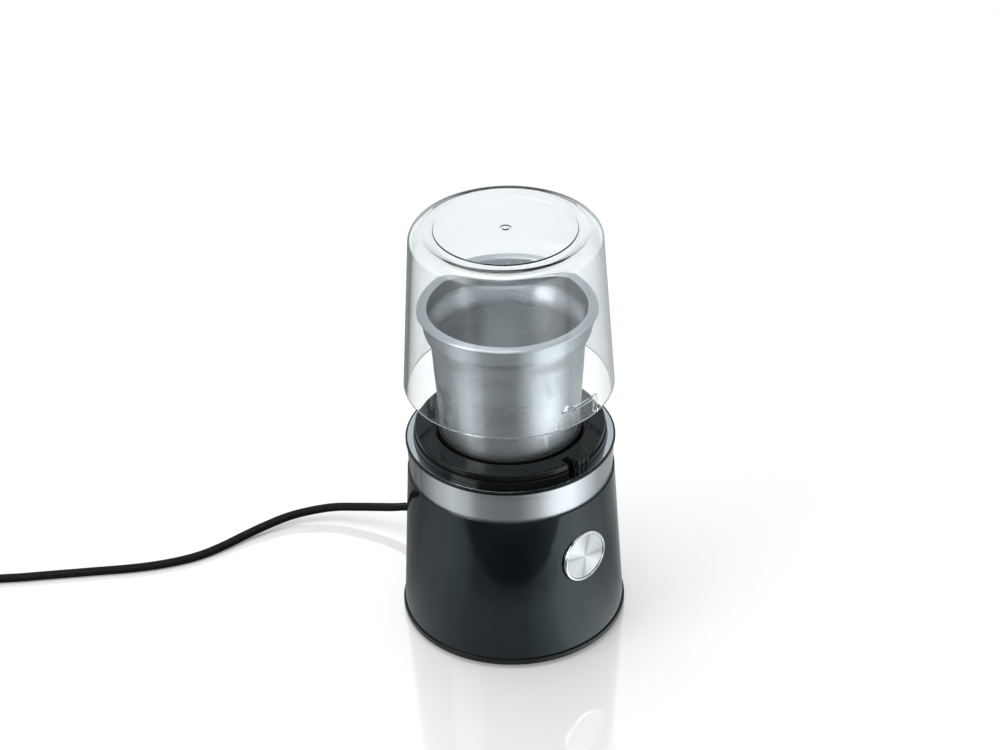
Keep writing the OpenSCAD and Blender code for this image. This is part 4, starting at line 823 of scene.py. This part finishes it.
side_wall = [*zip(np.linspace(body_r, shoulder_r, 10)[1:-1], np.linspace(bottom_z, shoulder_z, 10)[1:-1])]
for share in np.arange(25) / 24:
    swing = (1 - math.cos(math.pi * share)) / 2
    side_wall.append((shoulder_r + (neck_r - shoulder_r) * swing, shoulder_z + shoulder_h * share))
bowl_outline = [
    (hole_r, floor_z), (17.2, floor_z), *arc(bottom_r, bottom_z, bottom_round, -90, 0, 5), *side_wall,
    (neck_r, 172.2, 0.5), *arc(flange_r - roll, flange_z, roll, -90, 90, 15),
    *arc(mouth_r + roll, flange_z, roll, 90, 270, 15), (neck_r - steel, 171.9),
    *((r - steel, z) for r, z in side_wall[::-1]),
    *arc(bottom_r, bottom_z, bottom_round - steel, -90, 0, 5)[::-1], (hole_r, floor_z + steel)]
bowl = turned("grinding_bowl", rounded(bowl_outline, 5), 200)
bowl_steel = brushed("brushed bowl steel", (0.586, 0.611, 0.624), (0.61, 0.634, 0.646), 0.28, 0.3, 0.00015,
                     from_axis, Anisotropic=0.95, Anisotropic_Rotation=0.25)
wear(bowl, bowl_steel)
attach(bowl, "bowl")
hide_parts("bowl_cup")
dress(satin_black, "bowl_base")
dress(bronze, "bowl_bush")
dress(soft_rubber, "shaft_seal")

# ---------------------------------------------------------------- Blade
# A strip of hardened stainless steel with both tips bent up, held on its shaft by a domed nut. The
# shaft turns in a bronze bush in the bowl's bottom, under a rubber seal.
blade_steel = metal("hardened blade steel", (0.48, 0.49, 0.50), (0.64, 0.65, 0.66), 0.2, 0.35, 0.004)
dress(blade_steel, "blade blade_shaft")
dress(zinc, "blade_nut")

# ---------------------------------------------------------------- Lid
# One thick moulding in clear plastic: a conical wall 2.2 mm thick, a raised disc with the mark of the
# mould's gate, and inside the rim a pocket of ribs with the tab that works the interlock.
lid_z = 131.0  # the rim, with the lid lifted 30 mm off its seat


def wall_sector(name, r0, r1, h0, h1, first, last):
    """A rib that follows the wall, from one angle to the other."""
    return turned(name, [(r0, lid_z + h0), (r1, lid_z + h0), (r1, lid_z + h1), (r0, lid_z + h1)], 12, None,
                  first, last)


lid_outline = [
    (48.0, 0, 0.25), (50.0, 0, 0.5), (49.47, 8.6), (49.22, 12.4), (44.855, 82.1, 5.5), (38.95, 82.1),
    (38.75, 81.98), (38.55, 82.1), (33.6, 82.5, 0.2), (33.2, 83, 0.2), (2.6, 83, 0.08), (2.5, 82.5, 0.08),
    (1.6, 82.5, 0.08), (1.5, 83, 0.08), (0, 83), (0, 79.7), (42.74, 79.7, 4), (47.18, 12.4), (47.4, 9.1)]
lid = turned("clear_lid", rounded([(r, lid_z + h, *fillet) for r, h, *fillet in lid_outline], 10), 224)
rim_r, rib_rise, rib_sweep = 50, 8.4, 3.6
lean = math.atan(rib_rise / (rim_r * math.radians(rib_sweep)))
slant = (Matrix.Rotation(math.radians(-104), 4, "Z") @ Matrix.Translation((46.8, 0, lid_z + 0.2))
         @ Matrix.Rotation(lean - math.pi / 2, 4, "X"))
tab_place = Matrix.Rotation(math.radians(-94), 4, "Z") @ Matrix.Translation((0, 0, lid_z))
lid = cut(lid, [
    wall_sector("level_rib", 46.3, 48.1, 7.4, 8.6, -101, -75),
    wall_sector("stop", 46.8, 48.3, 0.1, 7.5, -78.2, -75.1),
    block("slanted_rib", slant, (0, 1.5), (-1.2, 0), (0, 8.33)),
    block("pin_tab", tab_place, (42.83, 48.1), (-1.4, 1.4), (4.9, 7.45))], "UNION")
clear, tree, shader, place = new_finish("clear plastic", Metallic=0.0, Transmission_Weight=1.0, IOR=1.5)
smear = noise(tree, place, 26.0, 3.0, Distortion=1.2)
feed(tree, shader.inputs, Roughness=ranged(tree, smear, 0.45, 0.75, 0.0, 0.035),
     Base_Color=blended(tree, smear, (0.895, 0.91, 0.913, 1), (0.92, 0.935, 0.938, 1)),
     Normal=bumped(tree, noise(tree, place, 90.0, 2.0), 0.004))


def shown(tree, factor, first, second):
    """Shows the first shader, or the second where the factor is 1."""
    mixed = add(tree, "ShaderNodeMixShader", {0: factor, 1: first.outputs[0], 2: second.outputs[0]})
    feed(tree, tree.nodes["Material Output"].inputs, Surface=mixed.outputs[0])


# Light passes through the walls, so that their shadow stays as pale as a clear plastic's.
passing = add(tree, "ShaderNodeBsdfTransparent", {"Color": (0.88, 0.9, 0.91, 1)})
shown(tree, add(tree, "ShaderNodeLightPath").outputs["Is Shadow Ray"], shader, passing)
wear(lid, clear)
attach(lid, "lid")
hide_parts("lid")

# ---------------------------------------------------------------- Studio
# A pale polished table in a white room, with one large soft light overhead and a smaller one at the
# left. A little light of its own keeps the table white, also where gloss and the clear lid show it.
table_half = 3000
table = new_piece("table", [(x * table_half, y * table_half, 0)
                            for x, y in ((-1, -1), (1, -1), (1, 1), (-1, 1))], [(0, 1, 2, 3)])
pale, tree, shader, place = new_finish("pale table", Roughness=0.06, IOR=3.2, Emission_Color=(1, 1, 1, 1))
path = add(tree, "ShaderNodeLightPath").outputs
seen = reckoned(tree, "MAXIMUM", path["Is Camera Ray"], path["Is Glossy Ray"])
own_light = reckoned(tree, "MULTIPLY_ADD", seen, 0.21, times(tree, path["Is Transmission Ray"], 0.12))
feed(tree, shader.inputs, Emission_Strength=own_light,
     Base_Color=blended(tree, noise(tree, place, 3.0, 2.0), (0.80, 0.80, 0.80, 1), (0.82, 0.82, 0.82, 1)))
wear(table, pale)

# The glowing sheet is what gloss mirrors low down, painted reflections of the room: white at the left and
# right, grey between, lighter close by, and a painted dark band ahead, from about 128 mm out. Only rays that
# gloss sends down on it see it.
glow_sheet_low, glow_sheet_top = 0.3, 0.5
glow_sheet = turned("graded_paper", [(57, glow_sheet_low), (1500, glow_sheet_low), (1500, glow_sheet_top), (57, glow_sheet_top)], 64)
graded, tree, shader, place = new_finish("glowing gloss sheet")
front = add(tree, "ShaderNodeMapping", {"Vector": place, "Rotation": (0, 0, math.radians(131.5))}).outputs[0]
ahead_of_it, beside_it, _ = axes(tree, front)
round_it = reckoned(tree, "ARCTAN2", beside_it, ahead_of_it)
round_it = reckoned(tree, "MULTIPLY_ADD", round_it, 0.5 / math.pi, 0.5)
brightest = 2.0


def grades(*middle):
    """Greys by angle: (degrees from the camera's side, brightness), between the same greys at the back."""
    stops = ((-180, 0.4), (-137, 0.22), (-99, 0.3), *middle, (180, 0.4))
    return ramp(tree, round_it, [
        (angle / 360 + 0.5, [grey / brightest * tint for tint in (0.94, 1, 1.025)]) for angle, grey in stops])


near = grades((-81, 0.68), (-62, 0.92), (-44, 0.85), (-34, 0.34), (-8, 0.24), (8, 0.27), (26, 0.8), (40, 1.9),
              (46, 2.0), (62, 2.0), (81, 1.15), (99, 0.55), (118, 0.5), (137, 0.6))
dark_band_greys = grades((-81, 0.68), (-62, 0.92), (-58, 0.8), (-54, 0.02), (4, 0.0), (20, 0.1), (40, 0.5),
                   (58, 1.2), (81, 1.05), (99, 0.55), (118, 0.5), (137, 0.6))
close_by = grades((-81, 0.57), (-62, 0.77), (-44, 0.72), (-34, 0.62), (-8, 0.54), (8, 0.58), (26, 1.3),
                  (36, 2.0), (46, 2.0), (62, 1.6), (81, 0.75), (99, 0.4), (118, 0.4), (137, 0.5))

# Metres from the axis over which the close greys end, and the painted dark band begins and ends
close_end, dark_band_start, dark_band_end = (0.105, 0.128), (0.127, 0.130), (0.17, 0.21)
far_off = ranged(tree, vector(tree, "LENGTH", front), *close_end)
# Painted dark reflection: a black band ahead of the grinder, in the greys that gloss mirrors.
edge = times(tree, ranged(tree, ahead_of_it, *dark_band_start), ranged(tree, ahead_of_it, *dark_band_end, 1.0, 0.0))
tree.nodes.remove(shader)
# The sheet glows with these greys, painted reflections of the room for gloss to mirror.
glow = add(tree, "ShaderNodeEmission", {
    "Color": blended(tree, edge, blended(tree, far_off, close_by, near), dark_band_greys), "Strength": brightest})


def mirrored_only(tree):
    """1 for what a gloss mirrors, 0 for what is looked at directly."""
    return reckoned(tree, "MINIMUM", add(tree, "ShaderNodeLightPath").outputs["Glossy Depth"], 1.0)


middle, a_little = (glow_sheet_low + glow_sheet_top) / 2 * MM, 0.01 * MM
upper_face = ranged(tree, axes(tree, place)[2], middle - a_little, middle + a_little)
from_above = reckoned(tree, "SUBTRACT", 1.0, add(tree, "ShaderNodeNewGeometry").outputs["Backfacing"])
from_gloss = times(tree, upper_face, from_above, mirrored_only(tree))
shown(tree, from_gloss, add(tree, "ShaderNodeBsdfTransparent"), glow)
wear(glow_sheet, graded)
glow_sheet.visible_camera = glow_sheet.visible_diffuse = glow_sheet.visible_shadow = False


def softbox(name, place, aim, width, depth, watts):
    """A rectangular soft light that looks at a point."""
    lamp = bpy.data.lights.new(name, "AREA")
    lamp.shape = "RECTANGLE"
    lamp.size, lamp.size_y, lamp.energy = width, depth, watts
    box = bpy.data.objects.new(name, lamp)
    look = (Vector(aim) - Vector(place)).to_track_quat("-Z", "Y").to_matrix().to_4x4()
    box.matrix_world = Matrix.Translation(place) @ look
    scene.collection.objects.link(box)


softbox("overhead softbox", (-0.1, 0.25, 1.5), (0, 0, 0.1), 1.2, 1.0, 11)
softbox("left softbox", (-1.2, 0.2, 0.9), (0, 0, 0.1), 0.7, 0.9, 6)

# The room is white to the eye and an even grey to dull surfaces. Gloss mirrors it graded: dimmer towards
# the ceiling, darker high up on the camera's side, and brighter low down there.
room = bpy.data.worlds.new("room")
scene.world = room
room.use_nodes = True
tree = room.node_tree
path = add(tree, "ShaderNodeLightPath").outputs
way = add(tree, "ShaderNodeTexCoord").outputs["Generated"]
up = axes(tree, way)[2]
towards = vector(tree, "DOT_PRODUCT", way, (-0.663, -0.749, 0))
bounced = mirrored_only(tree)
dark_corner = times(tree, ranged(tree, up, 0.3, 0.5), ranged(tree, towards, 0.0, 0.35), bounced)
bright_front = times(tree, ranged(tree, up, 0.32, 0.24), ranged(tree, towards, -0.2, 0.5), bounced)
light = times(tree, ranged(tree, up, 0.3, 0.9, 1.0, 0.5), ranged(tree, dark_corner, 0.0, 1.0, 1.0, 0.15),
              ranged(tree, bright_front, 0.0, 1.0, 1.0, 2.2))
grey = add(tree, "ShaderNodeCombineColor", {
    "Red": times(tree, light, 0.94), "Green": light, "Blue": times(tree, light, 1.03)}).outputs[0]
mirrored = reckoned(tree, "MAXIMUM", path["Is Glossy Ray"], path["Is Transmission Ray"])
lit = blended(tree, mirrored, (0.62, 0.62, 0.62, 1), grey)
feed(tree, tree.nodes["Background"].inputs, Color=blended(tree, path["Is Camera Ray"], lit, (1, 1, 1, 1)))
